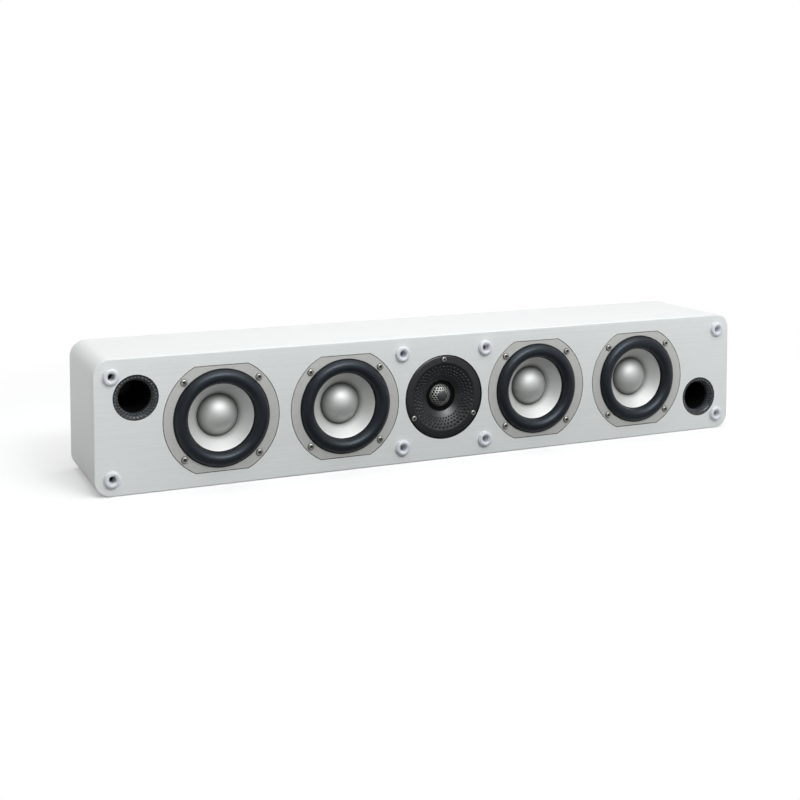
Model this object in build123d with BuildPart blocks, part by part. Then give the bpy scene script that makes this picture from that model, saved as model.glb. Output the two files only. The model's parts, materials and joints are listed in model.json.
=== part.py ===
import os
from math import cos, pi, radians, sin, tan

from build123d import *

os.makedirs("parts", exist_ok=True)

# Driving dimensions in millimetres
# X runs along the length, the front faces -Y and +Z is up. The origin is the middle of the underside.
# A depth is measured from the front of the baffle into the cabinet.

# Cabinet
cabinet_depth = 131.0
corner_radius = 17.5
front_edge_round = 1.6
wrap_wall = 12.0
baffle_thickness = 18.0
rear_panel_thickness = 12.0
rear_rebate = 6.0
rear_panel_gap = 0.2
brace_thickness = 12.0
brace_border = 20.0
brace_window_round = 14.0

# Spacing on the front
top_margin = 15.2
end_margin = 20.4
tweeter_gap = 9.5
woofer_gap = 14.1
port_gap = 5.1
flange_gap = 0.8

# Woofer diaphragm
cone_radius = 36.0
cone_edge_depth = 3.5
cone_wall_angle = 48.0
cone_sheet = 0.6
cone_rim = 2.4
cone_travel = 4.0
dust_cap_radius = 23.0
dust_cap_height = 13.0
dust_cap_sheet = 0.5
glue_gap = 0.1

# Woofer suspension
surround_width = 16.4
surround_lip = 2.0
surround_sheet = 1.0
surround_crest = 6.2
seat_gap = 0.2
spider_radius = 38.5
spider_lip = 5.0
spider_collar = 2.0
spider_sheet = 0.6
spider_rolls = 3
spider_roll_height = 1.6
spider_gap = 0.2
spider_drop = 4.0

# Woofer basket
flange_width = 10.1
flange_flat_width = 3.2
flange_thickness = 2.0
surround_seat_depth = 1.2
basket_sheet = 1.2
basket_neck = 5.0
basket_foot = 8.0
basket_leg_width = 17.0
basket_leg_turn = 45.0
basket_window_inset = 2.0
basket_hole_gap = 1.0

# Woofer motor
former_radius = 12.5
former_wall = 0.4
coil_build = 0.8
coil_gap = 0.5
pole_gap = 0.4
pole_vent_radius = 4.0
top_plate_radius = 34.0
top_plate_thickness = 5.0
magnet_radius = 37.5
magnet_bore_radius = 18.0
magnet_thickness = 13.0
magnet_chamfer = 1.0
back_plate_thickness = 5.0

# Woofer screws
woofer_screw_inset = 5.3
woofer_screw_count = 4
woofer_screw_start = 45.0
woofer_screw_head_radius = 3.9
woofer_screw_head_height = 2.2
woofer_screw_radius = 1.9
woofer_screw_length = 15.0
screw_head_taper = 20.0
screw_gap = 0.15

# Tweeter faceplate and guard
tweeter_rim_width = 8.8
tweeter_rim_thickness = 3.0
tweeter_rim_bevel = 0.6
tweeter_rim_step = 0.5
dish_width = 20.8
dish_depth = 8.0
throat_radius = 17.5
throat_length = 3.5
throat_wall = 4.0
floor_thickness = 1.5
foot_width = 12.0
roll_space_depth = 2.0
guard_radius = 13.0
guard_height = 7.2
guard_sheet = 0.5
guard_lip = 1.8
guard_disc_radius = 5.3
guard_hole_radius = 0.8
guard_hole_rows = 3
guard_hole_pitch = 2.6
tweeter_hole_gap = 1.0

# Tweeter motor
dome_radius = 12.6
dome_height = 4.5
dome_sheet = 0.3
suspension_width = 5.0
suspension_lip = 1.6
suspension_sheet = 0.3
suspension_crest = 1.0
tweeter_coil_radius = 12.4
tweeter_coil_wall = 0.5
tweeter_coil_length = 4.5
tweeter_coil_gap = 0.4
tweeter_plate_thickness = 3.5
tweeter_magnet_radius = 34.0
tweeter_magnet_bore_radius = 17.0
tweeter_magnet_thickness = 10.0
tweeter_yoke_thickness = 4.0
tweeter_pole_drop = 1.0

# Tweeter screws
tweeter_screw_inset = 4.4
tweeter_screw_count = 3
tweeter_screw_start = 90.0
tweeter_screw_head_radius = 3.2
tweeter_screw_head_height = 2.0
tweeter_screw_sink = 1.2
tweeter_screw_radius = 1.6
tweeter_screw_length = 13.0
tweeter_screw_taper = 12.0

# Ports
port_flare_radius = 23.0
port_bore_radius = 17.0
port_wall = 2.0
port_rim_thickness = 3.0
port_rise_margin = 41.6
port_end_gap = 24.0
port_hole_gap = 0.4

# Grille sockets
socket_inset = 18.2
socket_inner_offset = 4.5
socket_radius = 8.5
socket_hole_radius = 3.7
socket_height = 4.0
socket_shoulder = 1.4
socket_stem_wall = 1.6
socket_stem_length = 12.0

# Terminal cup
cup_flange_length = 100.0
cup_flange_height = 84.0
cup_flange_round = 10.0
cup_flange_thickness = 2.5
cup_border = 10.0
cup_wall = 2.5
cup_depth = 22.0
cup_taper = 8.0
cup_hole_gap = 0.5
cup_screw_inset = 5.5
cup_screw_radius = 1.6
cup_screw_head_radius = 3.0
cup_screw_head_height = 1.8
cup_screw_length = 11.0

# Binding posts
post_spacing = 19.0
post_radius = 3.0
post_collar_radius = 6.5
post_collar_height = 5.0
post_nut_height = 4.0
post_bore_radius = 2.05
post_bore_depth = 11.0
knob_radius = 7.0
knob_length = 11.0
knob_gap = 0.3
knob_flutes = 8
knob_flute_radius = 1.4
post_tip = 0.6

# Crossover
boss_radius = 3.2
boss_height = 7.0
boss_inset = 7.0
board_length = 78.0
board_height = 62.0
board_thickness = 1.6
choke_radius = 16.0
choke_bore_radius = 8.0
choke_height = 14.0
choke_spacing = 42.0
capacitor_radius = 7.0
capacitor_height = 20.0
capacitor_spacing = 44.0

# Sizes that follow from the ones above
surround_radius = cone_radius + surround_width
seat_radius = surround_radius + seat_gap
flange_radius = seat_radius + flange_width
flange_half_height = seat_radius + flange_flat_width
basket_radius = surround_radius
basket_hole_radius = basket_radius + basket_hole_gap
woofer_screw_circle = flange_radius - woofer_screw_inset
tweeter_rim_radius = throat_radius + dish_width + tweeter_rim_width
tweeter_screw_circle = tweeter_rim_radius - tweeter_screw_inset
tweeter_hole_radius = tweeter_magnet_radius + tweeter_hole_gap

front_y = -cabinet_depth / 2
rear_y = cabinet_depth / 2
mid_z = flange_half_height + top_margin
cabinet_height = 2 * mid_z
inner_woofer_x = tweeter_rim_radius + tweeter_gap + flange_radius
outer_woofer_x = inner_woofer_x + 2 * flange_radius + woofer_gap
port_x = outer_woofer_x + flange_radius + port_gap + port_flare_radius
port_rise = mid_z - port_rise_margin
cabinet_length = 2 * (port_x + port_flare_radius + end_margin)
socket_outer_x = cabinet_length / 2 - socket_inset
socket_inner_x = tweeter_rim_radius + socket_inner_offset
socket_rise = mid_z - socket_inset

woofer_places = {
    "left_outer": -outer_woofer_x,
    "left_inner": -inner_woofer_x,
    "right_inner": inner_woofer_x,
    "right_outer": outer_woofer_x,
}
port_places = {"left": (-port_x, port_rise), "right": (port_x, -port_rise)}
woofer_points = [(x, 0) for x in woofer_places.values()]
socket_points = [
    (x, rise)
    for x in (-socket_outer_x, -socket_inner_x, socket_inner_x, socket_outer_x)
    for rise in (-socket_rise, socket_rise)
]

# Depths through the woofer
neck_radius = former_radius + former_wall + glue_gap
cone_slope = tan(radians(cone_wall_angle))
neck_depth = cone_edge_depth + (cone_radius - neck_radius) * cone_slope
cap_depth = cone_edge_depth + (cone_radius - dust_cap_radius) * cone_slope - glue_gap
ledge_depth = neck_depth + cone_sheet + spider_drop
basket_end = ledge_depth + basket_foot
magnet_depth = basket_end + top_plate_thickness
back_plate_depth = magnet_depth + magnet_thickness
coil_middle = basket_end + top_plate_thickness / 2
coil_half = top_plate_thickness / 2 + cone_travel
coil_radius = former_radius + former_wall + coil_build

# Depths through the tweeter
dish_start = tweeter_rim_step
throat_start = dish_start + dish_depth
floor_depth = throat_start + throat_length
dome_depth = floor_depth + floor_thickness + roll_space_depth
tweeter_magnet_depth = dome_depth + tweeter_plate_thickness
tweeter_yoke_depth = tweeter_magnet_depth + tweeter_magnet_thickness

# Inside of the cabinet
inner_length = cabinet_length - 2 * wrap_wall
inner_height = cabinet_height - 2 * wrap_wall
inner_round = max(corner_radius - wrap_wall, front_edge_round)
inner_end = cabinet_depth - rear_panel_thickness


def facing(x, rise=0.0, depth=0.0):
    # Sketch plane that looks out of the front, upright, at a depth behind it
    return Plane(origin=(x, front_y + depth, mid_z + rise), x_dir=(1, 0, 0), z_dir=(0, -1, 0))


def facing_rear(x=0.0, inset=0.0):
    # Sketch plane that looks out of the rear, upright, at an inset from it
    return Plane(origin=(x, rear_y - inset, mid_z), x_dir=(-1, 0, 0), z_dir=(0, 1, 0))


def section(x, rise=0.0):
    # Sketch plane for turned profiles: radius across, depth along
    return Plane(origin=(x, front_y, mid_z + rise), x_dir=(1, 0, 0), z_dir=(0, 0, 1))


def turning_axis(x, rise=0.0):
    return Axis((x, front_y, mid_z + rise), (0, 1, 0))


def cap_arc(radius, rim_depth, height):
    # Arc of a ball from its rim to its top, for turning into a dome
    ball = (radius**2 + height**2) / (2 * height)
    half_angle = radians(Vector(ball - height, radius, 0).get_angle(Vector(1, 0, 0)) / 2)
    centre = rim_depth - height + ball
    halfway = (ball * sin(half_angle), centre - ball * cos(half_angle))
    return ThreePointArc((radius, rim_depth), halfway, (0, rim_depth - height))


def write(piece, name):
    piece.part.label = name
    export_step(piece.part, f"parts/{name}.step")


# Front baffle, rebated for every flange that sits flush in it
with BuildPart() as front_baffle:
    with BuildSketch(facing(0)):
        RectangleRounded(cabinet_length, cabinet_height, corner_radius)
    extrude(amount=-baffle_thickness)
    fillet(front_baffle.faces().sort_by(Axis.Y)[0].edges(), front_edge_round)
    with BuildSketch(facing(0)):
        with Locations(*woofer_points):
            Circle(flange_radius + flange_gap)
        Rectangle(cabinet_length, 2 * (flange_half_height + flange_gap), mode=Mode.INTERSECT)
    extrude(amount=-flange_thickness, mode=Mode.SUBTRACT)
    with BuildSketch(facing(0)):
        Circle(tweeter_rim_radius + flange_gap)
    extrude(amount=-tweeter_rim_thickness, mode=Mode.SUBTRACT)
    with BuildSketch(facing(0)):
        with Locations(*port_places.values()):
            Circle(port_flare_radius + flange_gap)
    extrude(amount=-port_rim_thickness, mode=Mode.SUBTRACT)
    with BuildSketch(facing(0)):
        with Locations(*woofer_points):
            Circle(basket_hole_radius)
        Circle(tweeter_hole_radius)
        with Locations(*port_places.values()):
            Circle(port_bore_radius + port_wall + port_hole_gap)
    extrude(amount=-baffle_thickness, mode=Mode.SUBTRACT)
    with BuildSketch(facing(0)):
        with Locations(*woofer_points):
            with PolarLocations(woofer_screw_circle, woofer_screw_count, woofer_screw_start):
                Circle(woofer_screw_radius + screw_gap)
    extrude(amount=-woofer_screw_length, mode=Mode.SUBTRACT)
    with BuildSketch(facing(0)):
        with PolarLocations(tweeter_screw_circle, tweeter_screw_count, tweeter_screw_start):
            Circle(tweeter_screw_radius + screw_gap)
    extrude(amount=-(tweeter_screw_sink + tweeter_screw_length), mode=Mode.SUBTRACT)
    with BuildSketch(facing(0)):
        with Locations(*socket_points):
            Circle(socket_hole_radius + socket_stem_wall + seat_gap)
    extrude(amount=-socket_stem_length, mode=Mode.SUBTRACT)
write(front_baffle, "front_baffle")

# Cabinet wrap: top, underside and both ends bent as one shell, with a rebate for the rear panel
with BuildPart() as cabinet_wrap:
    with BuildSketch(facing(0, depth=baffle_thickness)):
        RectangleRounded(cabinet_length, cabinet_height, corner_radius)
        RectangleRounded(inner_length, inner_height, inner_round, mode=Mode.SUBTRACT)
    extrude(amount=-(cabinet_depth - baffle_thickness))
    with BuildSketch(facing_rear()):
        RectangleRounded(
            inner_length + 2 * rear_rebate,
            inner_height + 2 * rear_rebate,
            inner_round + rear_rebate,
        )
    extrude(amount=-rear_panel_thickness, mode=Mode.SUBTRACT)
write(cabinet_wrap, "cabinet_wrap")

# Rear panel, set into the rebate, with a seat and cut-out for the terminal cup
panel_length = inner_length + 2 * (rear_rebate - rear_panel_gap)
panel_height = inner_height + 2 * (rear_rebate - rear_panel_gap)
cup_mouth_length = cup_flange_length - 2 * cup_border
cup_mouth_height = cup_flange_height - 2 * cup_border
cup_hole_length = cup_mouth_length + 2 * (cup_wall + cup_hole_gap)
cup_hole_height = cup_mouth_height + 2 * (cup_wall + cup_hole_gap)
cup_screw_reach_x = cup_flange_length - 2 * cup_screw_inset
cup_screw_reach_z = cup_flange_height - 2 * cup_screw_inset
with BuildPart() as rear_panel:
    with BuildSketch(facing_rear()):
        RectangleRounded(panel_length, panel_height, inner_round + rear_rebate - rear_panel_gap)
    extrude(amount=-rear_panel_thickness)
    with BuildSketch(facing_rear()):
        RectangleRounded(
            cup_flange_length + 2 * flange_gap,
            cup_flange_height + 2 * flange_gap,
            cup_flange_round + flange_gap,
        )
    extrude(amount=-cup_flange_thickness, mode=Mode.SUBTRACT)
    with BuildSketch(facing_rear()):
        RectangleRounded(cup_hole_length, cup_hole_height, cup_flange_round)
    extrude(amount=-rear_panel_thickness, mode=Mode.SUBTRACT)
    with BuildSketch(facing_rear()):
        with GridLocations(cup_screw_reach_x, cup_screw_reach_z, 2, 2):
            Circle(cup_screw_radius + screw_gap)
    extrude(amount=-cup_screw_length, mode=Mode.SUBTRACT)
write(rear_panel, "rear_panel")

# Window braces between the woofers of each pair
brace_depth = inner_end - baffle_thickness
brace_x = (inner_woofer_x + outer_woofer_x) / 2
brace_plane = Plane(
    origin=(0, front_y + baffle_thickness + brace_depth / 2, mid_z), x_dir=(0, 1, 0), z_dir=(1, 0, 0)
)
with BuildPart() as braces:
    for side in (-1, 1):
        with BuildSketch(brace_plane.offset(side * brace_x)):
            Rectangle(brace_depth, inner_height)
            RectangleRounded(
                brace_depth - 2 * brace_border,
                inner_height - 2 * brace_border,
                brace_window_round,
                mode=Mode.SUBTRACT,
            )
        extrude(amount=brace_thickness / 2, both=True)
write(braces, "braces")

# The four woofers, from the front to the rear of each
for place, x in woofer_places.items():
    with BuildPart() as basket:
        with BuildSketch(facing(x)):
            Circle(flange_radius)
            Rectangle(2 * flange_radius, 2 * flange_half_height, mode=Mode.INTERSECT)
        extrude(amount=-flange_thickness)
        with BuildSketch(facing(x)):
            Circle(seat_radius)
        extrude(amount=-surround_seat_depth, mode=Mode.SUBTRACT)
        with BuildSketch(facing(x)):
            Circle(surround_radius - 2 * surround_lip)
        extrude(amount=-flange_thickness, mode=Mode.SUBTRACT)
        with BuildSketch(section(x)):
            with BuildLine():
                Polyline(
                    (basket_radius, flange_thickness),
                    (basket_radius - basket_sheet, basket_neck),
                    (spider_radius + basket_sheet + seat_gap, ledge_depth + basket_sheet),
                    (spider_radius - spider_lip, ledge_depth + basket_sheet),
                    (top_plate_radius - 2 * basket_sheet, basket_end),
                    (magnet_bore_radius, basket_end),
                )
                offset(amount=basket_sheet, side=Side.LEFT)
            make_face()
        revolve(axis=turning_axis(x))
        with BuildSketch(facing(x, depth=basket_neck + basket_window_inset)):
            Circle(flange_radius)
            Circle(spider_radius + basket_sheet + basket_window_inset, mode=Mode.SUBTRACT)
            for turn in (-basket_leg_turn, basket_leg_turn):
                Rectangle(2 * flange_radius, basket_leg_width, turn, mode=Mode.SUBTRACT)
        extrude(amount=-(ledge_depth - basket_neck - basket_window_inset), mode=Mode.SUBTRACT)
        with BuildSketch(facing(x)):
            with PolarLocations(woofer_screw_circle, woofer_screw_count, woofer_screw_start):
                Circle(woofer_screw_radius + screw_gap)
        extrude(amount=-flange_thickness, mode=Mode.SUBTRACT)
    write(basket, f"woofer_basket_{place}")

    with BuildPart() as surround:
        with BuildSketch(section(x)):
            with BuildLine():
                roll_outer = (surround_radius - surround_lip, surround_seat_depth)
                roll_inner = (cone_radius + cone_rim, cone_edge_depth)
                roll_top = ((roll_outer[0] + roll_inner[0]) / 2, surround_sheet - surround_crest)
                Line((surround_radius, surround_seat_depth), roll_outer)
                ThreePointArc(roll_outer, roll_top, roll_inner)
                Line(roll_inner, (cone_radius, cone_edge_depth))
                offset(amount=surround_sheet, side=Side.LEFT)
            make_face()
        revolve(axis=turning_axis(x))
    write(surround, f"woofer_surround_{place}")

    with BuildPart() as cone:
        with BuildSketch(section(x)):
            with BuildLine():
                Polyline(
                    (cone_radius + cone_rim, cone_edge_depth),
                    (cone_radius, cone_edge_depth),
                    (neck_radius, neck_depth),
                )
                offset(amount=cone_sheet, side=Side.RIGHT)
            make_face()
            Rectangle(2 * neck_radius, 2 * basket_end, mode=Mode.SUBTRACT)
        revolve(axis=turning_axis(x))
    write(cone, f"woofer_cone_{place}")

    with BuildPart() as dust_cap:
        with BuildSketch(section(x)):
            with BuildLine():
                cap_arc(dust_cap_radius, cap_depth, dust_cap_height)
                Line((0, cap_depth - dust_cap_height), (0, cap_depth - dust_cap_height + dust_cap_sheet))
                cap_arc(dust_cap_radius - dust_cap_sheet, cap_depth, dust_cap_height - dust_cap_sheet)
                Line((dust_cap_radius - dust_cap_sheet, cap_depth), (dust_cap_radius, cap_depth))
            make_face()
        revolve(axis=turning_axis(x))
    write(dust_cap, f"dust_cap_{place}")

    with BuildPart() as voice_coil:
        with BuildSketch(facing(x, depth=neck_depth)):
            Circle(former_radius + former_wall)
            Circle(former_radius, mode=Mode.SUBTRACT)
        extrude(amount=-(coil_middle + coil_half - neck_depth))
        with BuildSketch(facing(x, depth=coil_middle - coil_half)):
            Circle(coil_radius)
            Circle(former_radius, mode=Mode.SUBTRACT)
        extrude(amount=-2 * coil_half)
    write(voice_coil, f"voice_coil_{place}")

    with BuildPart() as spider:
        collar_outer = neck_radius + spider_gap + spider_collar
        roll_step = (spider_radius - spider_lip - collar_outer) / (2 * spider_rolls)
        ridge_points = [
            (
                collar_outer + step * roll_step,
                ledge_depth - spider_sheet / 2 + spider_roll_height * (-1 if step % 2 else 1),
            )
            for step in range(2 * spider_rolls, -1, -1)
        ]
        with BuildSketch(section(x)):
            with BuildLine():
                Polyline(
                    (spider_radius, ledge_depth),
                    (spider_radius - spider_lip, ledge_depth),
                    *ridge_points[1:-1],
                    (collar_outer, ledge_depth),
                    (neck_radius + spider_gap, ledge_depth),
                )
                offset(amount=spider_sheet, side=Side.LEFT)
            make_face()
        revolve(axis=turning_axis(x))
    write(spider, f"spider_{place}")

    with BuildPart() as top_plate:
        with BuildSketch(facing(x, depth=basket_end)):
            Circle(top_plate_radius)
            Circle(coil_radius + coil_gap, mode=Mode.SUBTRACT)
        extrude(amount=-top_plate_thickness)
    write(top_plate, f"top_plate_{place}")

    with BuildPart() as magnet:
        with BuildSketch(facing(x, depth=magnet_depth)):
            Circle(magnet_radius)
            Circle(magnet_bore_radius, mode=Mode.SUBTRACT)
        extrude(amount=-magnet_thickness)
        chamfer(magnet.edges().filter_by(GeomType.CIRCLE).group_by(SortBy.RADIUS)[-1], magnet_chamfer)
    write(magnet, f"magnet_{place}")

    with BuildPart() as yoke:
        with BuildSketch(facing(x, depth=back_plate_depth)):
            Circle(top_plate_radius)
        extrude(amount=-back_plate_thickness)
        with BuildSketch(facing(x, depth=back_plate_depth)):
            Circle(former_radius - pole_gap)
        extrude(amount=top_plate_thickness + magnet_thickness)
        with BuildSketch(facing(x, depth=basket_end)):
            Circle(pole_vent_radius)
        extrude(amount=-(top_plate_thickness + magnet_thickness + back_plate_thickness), mode=Mode.SUBTRACT)
    write(yoke, f"yoke_{place}")

# Woofer screws: pan heads on the flanges, shanks in the baffle
with BuildPart() as woofer_screws:
    with BuildSketch(facing(0)):
        with Locations(*woofer_points):
            with PolarLocations(woofer_screw_circle, woofer_screw_count, woofer_screw_start):
                Circle(woofer_screw_head_radius)
    extrude(amount=woofer_screw_head_height, taper=screw_head_taper)
    with BuildSketch(facing(0)):
        with Locations(*woofer_points):
            with PolarLocations(woofer_screw_circle, woofer_screw_count, woofer_screw_start):
                Circle(woofer_screw_radius)
    extrude(amount=-woofer_screw_length)
write(woofer_screws, "woofer_screws")

# Tweeter faceplate: flat rim, flared dish, throat and the foot that clamps to the motor
with BuildPart() as tweeter_faceplate:
    with BuildSketch(section(0)):
        dish_outer = throat_radius + dish_width
        with BuildLine():
            rim = Polyline(
                (throat_radius + throat_wall, floor_depth + floor_thickness),
                (throat_radius + throat_wall, throat_start + floor_thickness),
                (tweeter_hole_radius - flange_gap, tweeter_rim_thickness),
                (tweeter_rim_radius, tweeter_rim_thickness),
                (tweeter_rim_radius, tweeter_rim_bevel),
                (tweeter_rim_radius - tweeter_rim_bevel, 0),
                (dish_outer + tweeter_rim_step, 0),
                (dish_outer, dish_start),
            )
            dish = TangentArc((dish_outer, dish_start), (throat_radius, throat_start), tangent=(-1, 0))
            Polyline(
                dish @ 1,
                (throat_radius, floor_depth),
                (guard_radius + guard_sheet, floor_depth),
                (guard_radius + guard_sheet, floor_depth + floor_thickness),
                (dome_radius + suspension_width + suspension_lip + seat_gap, floor_depth + floor_thickness),
                (dome_radius + suspension_width + suspension_lip + seat_gap, dome_depth),
                (throat_radius + throat_wall + foot_width, dome_depth),
                (throat_radius + throat_wall + foot_width, floor_depth + floor_thickness),
                rim @ 0,
            )
        make_face()
    revolve(axis=turning_axis(0))
    with BuildSketch(facing(0)):
        with PolarLocations(tweeter_screw_circle, tweeter_screw_count, tweeter_screw_start):
            Circle(tweeter_screw_head_radius + screw_gap)
    extrude(amount=-tweeter_screw_sink, mode=Mode.SUBTRACT)
    with BuildSketch(facing(0)):
        with PolarLocations(tweeter_screw_circle, tweeter_screw_count, tweeter_screw_start):
            Circle(tweeter_screw_radius + screw_gap)
    extrude(amount=-tweeter_rim_thickness, mode=Mode.SUBTRACT)
write(tweeter_faceplate, "tweeter_faceplate")

# Tweeter guard: a pierced dome with a solid middle disc, seated on the floor of the throat
with BuildPart() as tweeter_guard:
    guard_rim_depth = floor_depth - guard_sheet
    with BuildSketch(section(0)):
        with BuildLine():
            cap_arc(guard_radius, guard_rim_depth, guard_height)
            Polyline(
                (0, guard_rim_depth - guard_height),
                (0, guard_rim_depth - guard_height + guard_sheet),
            )
            cap_arc(guard_radius - guard_sheet, floor_depth, guard_height)
            Polyline(
                (guard_radius - guard_sheet, floor_depth),
                (guard_radius + guard_lip, floor_depth),
                (guard_radius + guard_lip, guard_rim_depth),
                (guard_radius, guard_rim_depth),
            )
        make_face()
    revolve(axis=turning_axis(0))
    with BuildSketch(facing(0)):
        for row in range(guard_hole_rows):
            row_radius = guard_disc_radius + guard_hole_pitch * (row + 0.5)
            with PolarLocations(row_radius, int(2 * pi * row_radius / guard_hole_pitch)):
                Circle(guard_hole_radius)
    extrude(amount=-floor_depth, mode=Mode.SUBTRACT)
write(tweeter_guard, "tweeter_guard")

with BuildPart() as tweeter_dome:
    with BuildSketch(section(0)):
        with BuildLine():
            cap_arc(dome_radius, dome_depth - glue_gap, dome_height)
            Line(
                (0, dome_depth - glue_gap - dome_height),
                (0, dome_depth - glue_gap - dome_height + dome_sheet),
            )
            cap_arc(dome_radius - dome_sheet, dome_depth - glue_gap, dome_height - dome_sheet)
            Line((dome_radius - dome_sheet, dome_depth - glue_gap), (dome_radius, dome_depth - glue_gap))
        make_face()
    revolve(axis=turning_axis(0))
write(tweeter_dome, "tweeter_dome")

with BuildPart() as tweeter_suspension:
    with BuildSketch(section(0)):
        with BuildLine():
            roll_inner = (dome_radius + seat_gap, dome_depth)
            roll_outer = (dome_radius + suspension_width, dome_depth)
            roll_top = ((roll_inner[0] + roll_outer[0]) / 2, dome_depth - suspension_crest)
            Line((roll_outer[0] + suspension_lip, dome_depth), roll_outer)
            ThreePointArc(roll_outer, roll_top, roll_inner)
            offset(amount=suspension_sheet, side=Side.LEFT)
        make_face()
    revolve(axis=turning_axis(0))
write(tweeter_suspension, "tweeter_suspension")

with BuildPart() as tweeter_voice_coil:
    with BuildSketch(facing(0, depth=dome_depth)):
        Circle(tweeter_coil_radius + tweeter_coil_wall)
        Circle(tweeter_coil_radius, mode=Mode.SUBTRACT)
    extrude(amount=-tweeter_coil_length)
write(tweeter_voice_coil, "tweeter_voice_coil")

with BuildPart() as tweeter_top_plate:
    with BuildSketch(facing(0, depth=dome_depth)):
        Circle(throat_radius + throat_wall + foot_width)
        Circle(tweeter_coil_radius + tweeter_coil_wall + tweeter_coil_gap, mode=Mode.SUBTRACT)
    extrude(amount=-tweeter_plate_thickness)
write(tweeter_top_plate, "tweeter_top_plate")

with BuildPart() as tweeter_magnet:
    with BuildSketch(facing(0, depth=tweeter_magnet_depth)):
        Circle(tweeter_magnet_radius)
        Circle(tweeter_magnet_bore_radius, mode=Mode.SUBTRACT)
    extrude(amount=-tweeter_magnet_thickness)
write(tweeter_magnet, "tweeter_magnet")

with BuildPart() as tweeter_yoke:
    with BuildSketch(facing(0, depth=tweeter_yoke_depth)):
        Circle(throat_radius + throat_wall + foot_width)
    extrude(amount=-tweeter_yoke_thickness)
    with BuildSketch(facing(0, depth=tweeter_yoke_depth)):
        Circle(tweeter_coil_radius - tweeter_coil_gap)
    extrude(amount=tweeter_magnet_thickness + tweeter_plate_thickness - tweeter_pole_drop)
write(tweeter_yoke, "tweeter_yoke")

with BuildPart() as tweeter_screws:
    with BuildSketch(facing(0, depth=tweeter_screw_sink)):
        with PolarLocations(tweeter_screw_circle, tweeter_screw_count, tweeter_screw_start):
            Circle(tweeter_screw_head_radius)
    extrude(amount=tweeter_screw_head_height, taper=tweeter_screw_taper)
    with BuildSketch(facing(0, depth=tweeter_screw_sink)):
        with PolarLocations(tweeter_screw_circle, tweeter_screw_count, tweeter_screw_start):
            Circle(tweeter_screw_radius)
    extrude(amount=-tweeter_screw_length)
write(tweeter_screws, "tweeter_screws")

# Port tubes, flared at the baffle
port_flare = port_flare_radius - port_bore_radius
port_end = inner_end - port_end_gap
for side, (x, rise) in port_places.items():
    with BuildPart() as port_tube:
        with BuildSketch(section(x, rise)):
            with BuildLine():
                RadiusArc((port_flare_radius, 0), (port_bore_radius, port_flare), port_flare)
                Polyline(
                    (port_bore_radius, port_flare),
                    (port_bore_radius, port_end),
                    (port_bore_radius + port_wall, port_end),
                    (port_bore_radius + port_wall, port_rim_thickness),
                    (port_flare_radius, port_rim_thickness),
                    (port_flare_radius, 0),
                )
            make_face()
        revolve(axis=turning_axis(x, rise))
    write(port_tube, f"port_tube_{side}")

# Grille sockets: rounded rings on the baffle with stems in it
with BuildPart() as grille_sockets:
    ring_middle = (socket_radius + socket_hole_radius) / 2
    for x, rise in socket_points:
        with BuildSketch(section(x, rise)):
            with BuildLine():
                Polyline(
                    (socket_hole_radius, -socket_shoulder),
                    (socket_hole_radius, socket_stem_length),
                    (socket_hole_radius + socket_stem_wall, socket_stem_length),
                    (socket_hole_radius + socket_stem_wall, 0),
                    (socket_radius, 0),
                    (socket_radius, -socket_shoulder),
                )
                ThreePointArc(
                    (socket_radius, -socket_shoulder),
                    (ring_middle, -socket_height),
                    (socket_hole_radius, -socket_shoulder),
                )
            make_face()
        revolve(axis=turning_axis(x, rise))
write(grille_sockets, "grille_sockets")

# Terminal cup with four bosses behind it for the crossover board
cup_floor_length = cup_mouth_length - cup_taper
cup_floor_height = cup_mouth_height - cup_taper
cup_round = cup_flange_round - cup_wall
boss_reach_x = board_length - 2 * boss_inset
boss_reach_z = board_height - 2 * boss_inset
cup_back = cup_depth + cup_wall
with BuildPart() as terminal_cup:
    with BuildSketch(facing_rear()):
        RectangleRounded(cup_flange_length, cup_flange_height, cup_flange_round)
    extrude(amount=-cup_flange_thickness)
    with BuildSketch(facing_rear()):
        RectangleRounded(
            cup_mouth_length + 2 * cup_wall,
            cup_mouth_height + 2 * cup_wall,
            cup_flange_round,
        )
    with BuildSketch(facing_rear(inset=cup_back)):
        RectangleRounded(
            cup_floor_length + 2 * cup_wall,
            cup_floor_height + 2 * cup_wall,
            cup_flange_round,
        )
    loft()
    with BuildSketch(facing_rear()):
        RectangleRounded(cup_mouth_length, cup_mouth_height, cup_round)
    with BuildSketch(facing_rear(inset=cup_depth)):
        RectangleRounded(cup_floor_length, cup_floor_height, cup_round)
    loft(mode=Mode.SUBTRACT)
    with BuildSketch(facing_rear(inset=cup_back)):
        with GridLocations(boss_reach_x, boss_reach_z, 2, 2):
            Circle(boss_radius)
    extrude(amount=-boss_height)
    with BuildSketch(facing_rear()):
        with GridLocations(cup_screw_reach_x, cup_screw_reach_z, 2, 2):
            Circle(cup_screw_radius + screw_gap)
    extrude(amount=-cup_flange_thickness, mode=Mode.SUBTRACT)
    with BuildSketch(facing_rear(inset=cup_depth)):
        with GridLocations(post_spacing, 0, 2, 1):
            Circle(post_radius + screw_gap)
    extrude(amount=-cup_wall, mode=Mode.SUBTRACT)
write(terminal_cup, "terminal_cup")

with BuildPart() as terminal_screws:
    with BuildSketch(facing_rear()):
        with GridLocations(cup_screw_reach_x, cup_screw_reach_z, 2, 2):
            Circle(cup_screw_head_radius)
    extrude(amount=cup_screw_head_height, taper=screw_head_taper)
    with BuildSketch(facing_rear()):
        with GridLocations(cup_screw_reach_x, cup_screw_reach_z, 2, 2):
            Circle(cup_screw_radius)
    extrude(amount=-cup_screw_length)
write(terminal_screws, "terminal_screws")

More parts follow.
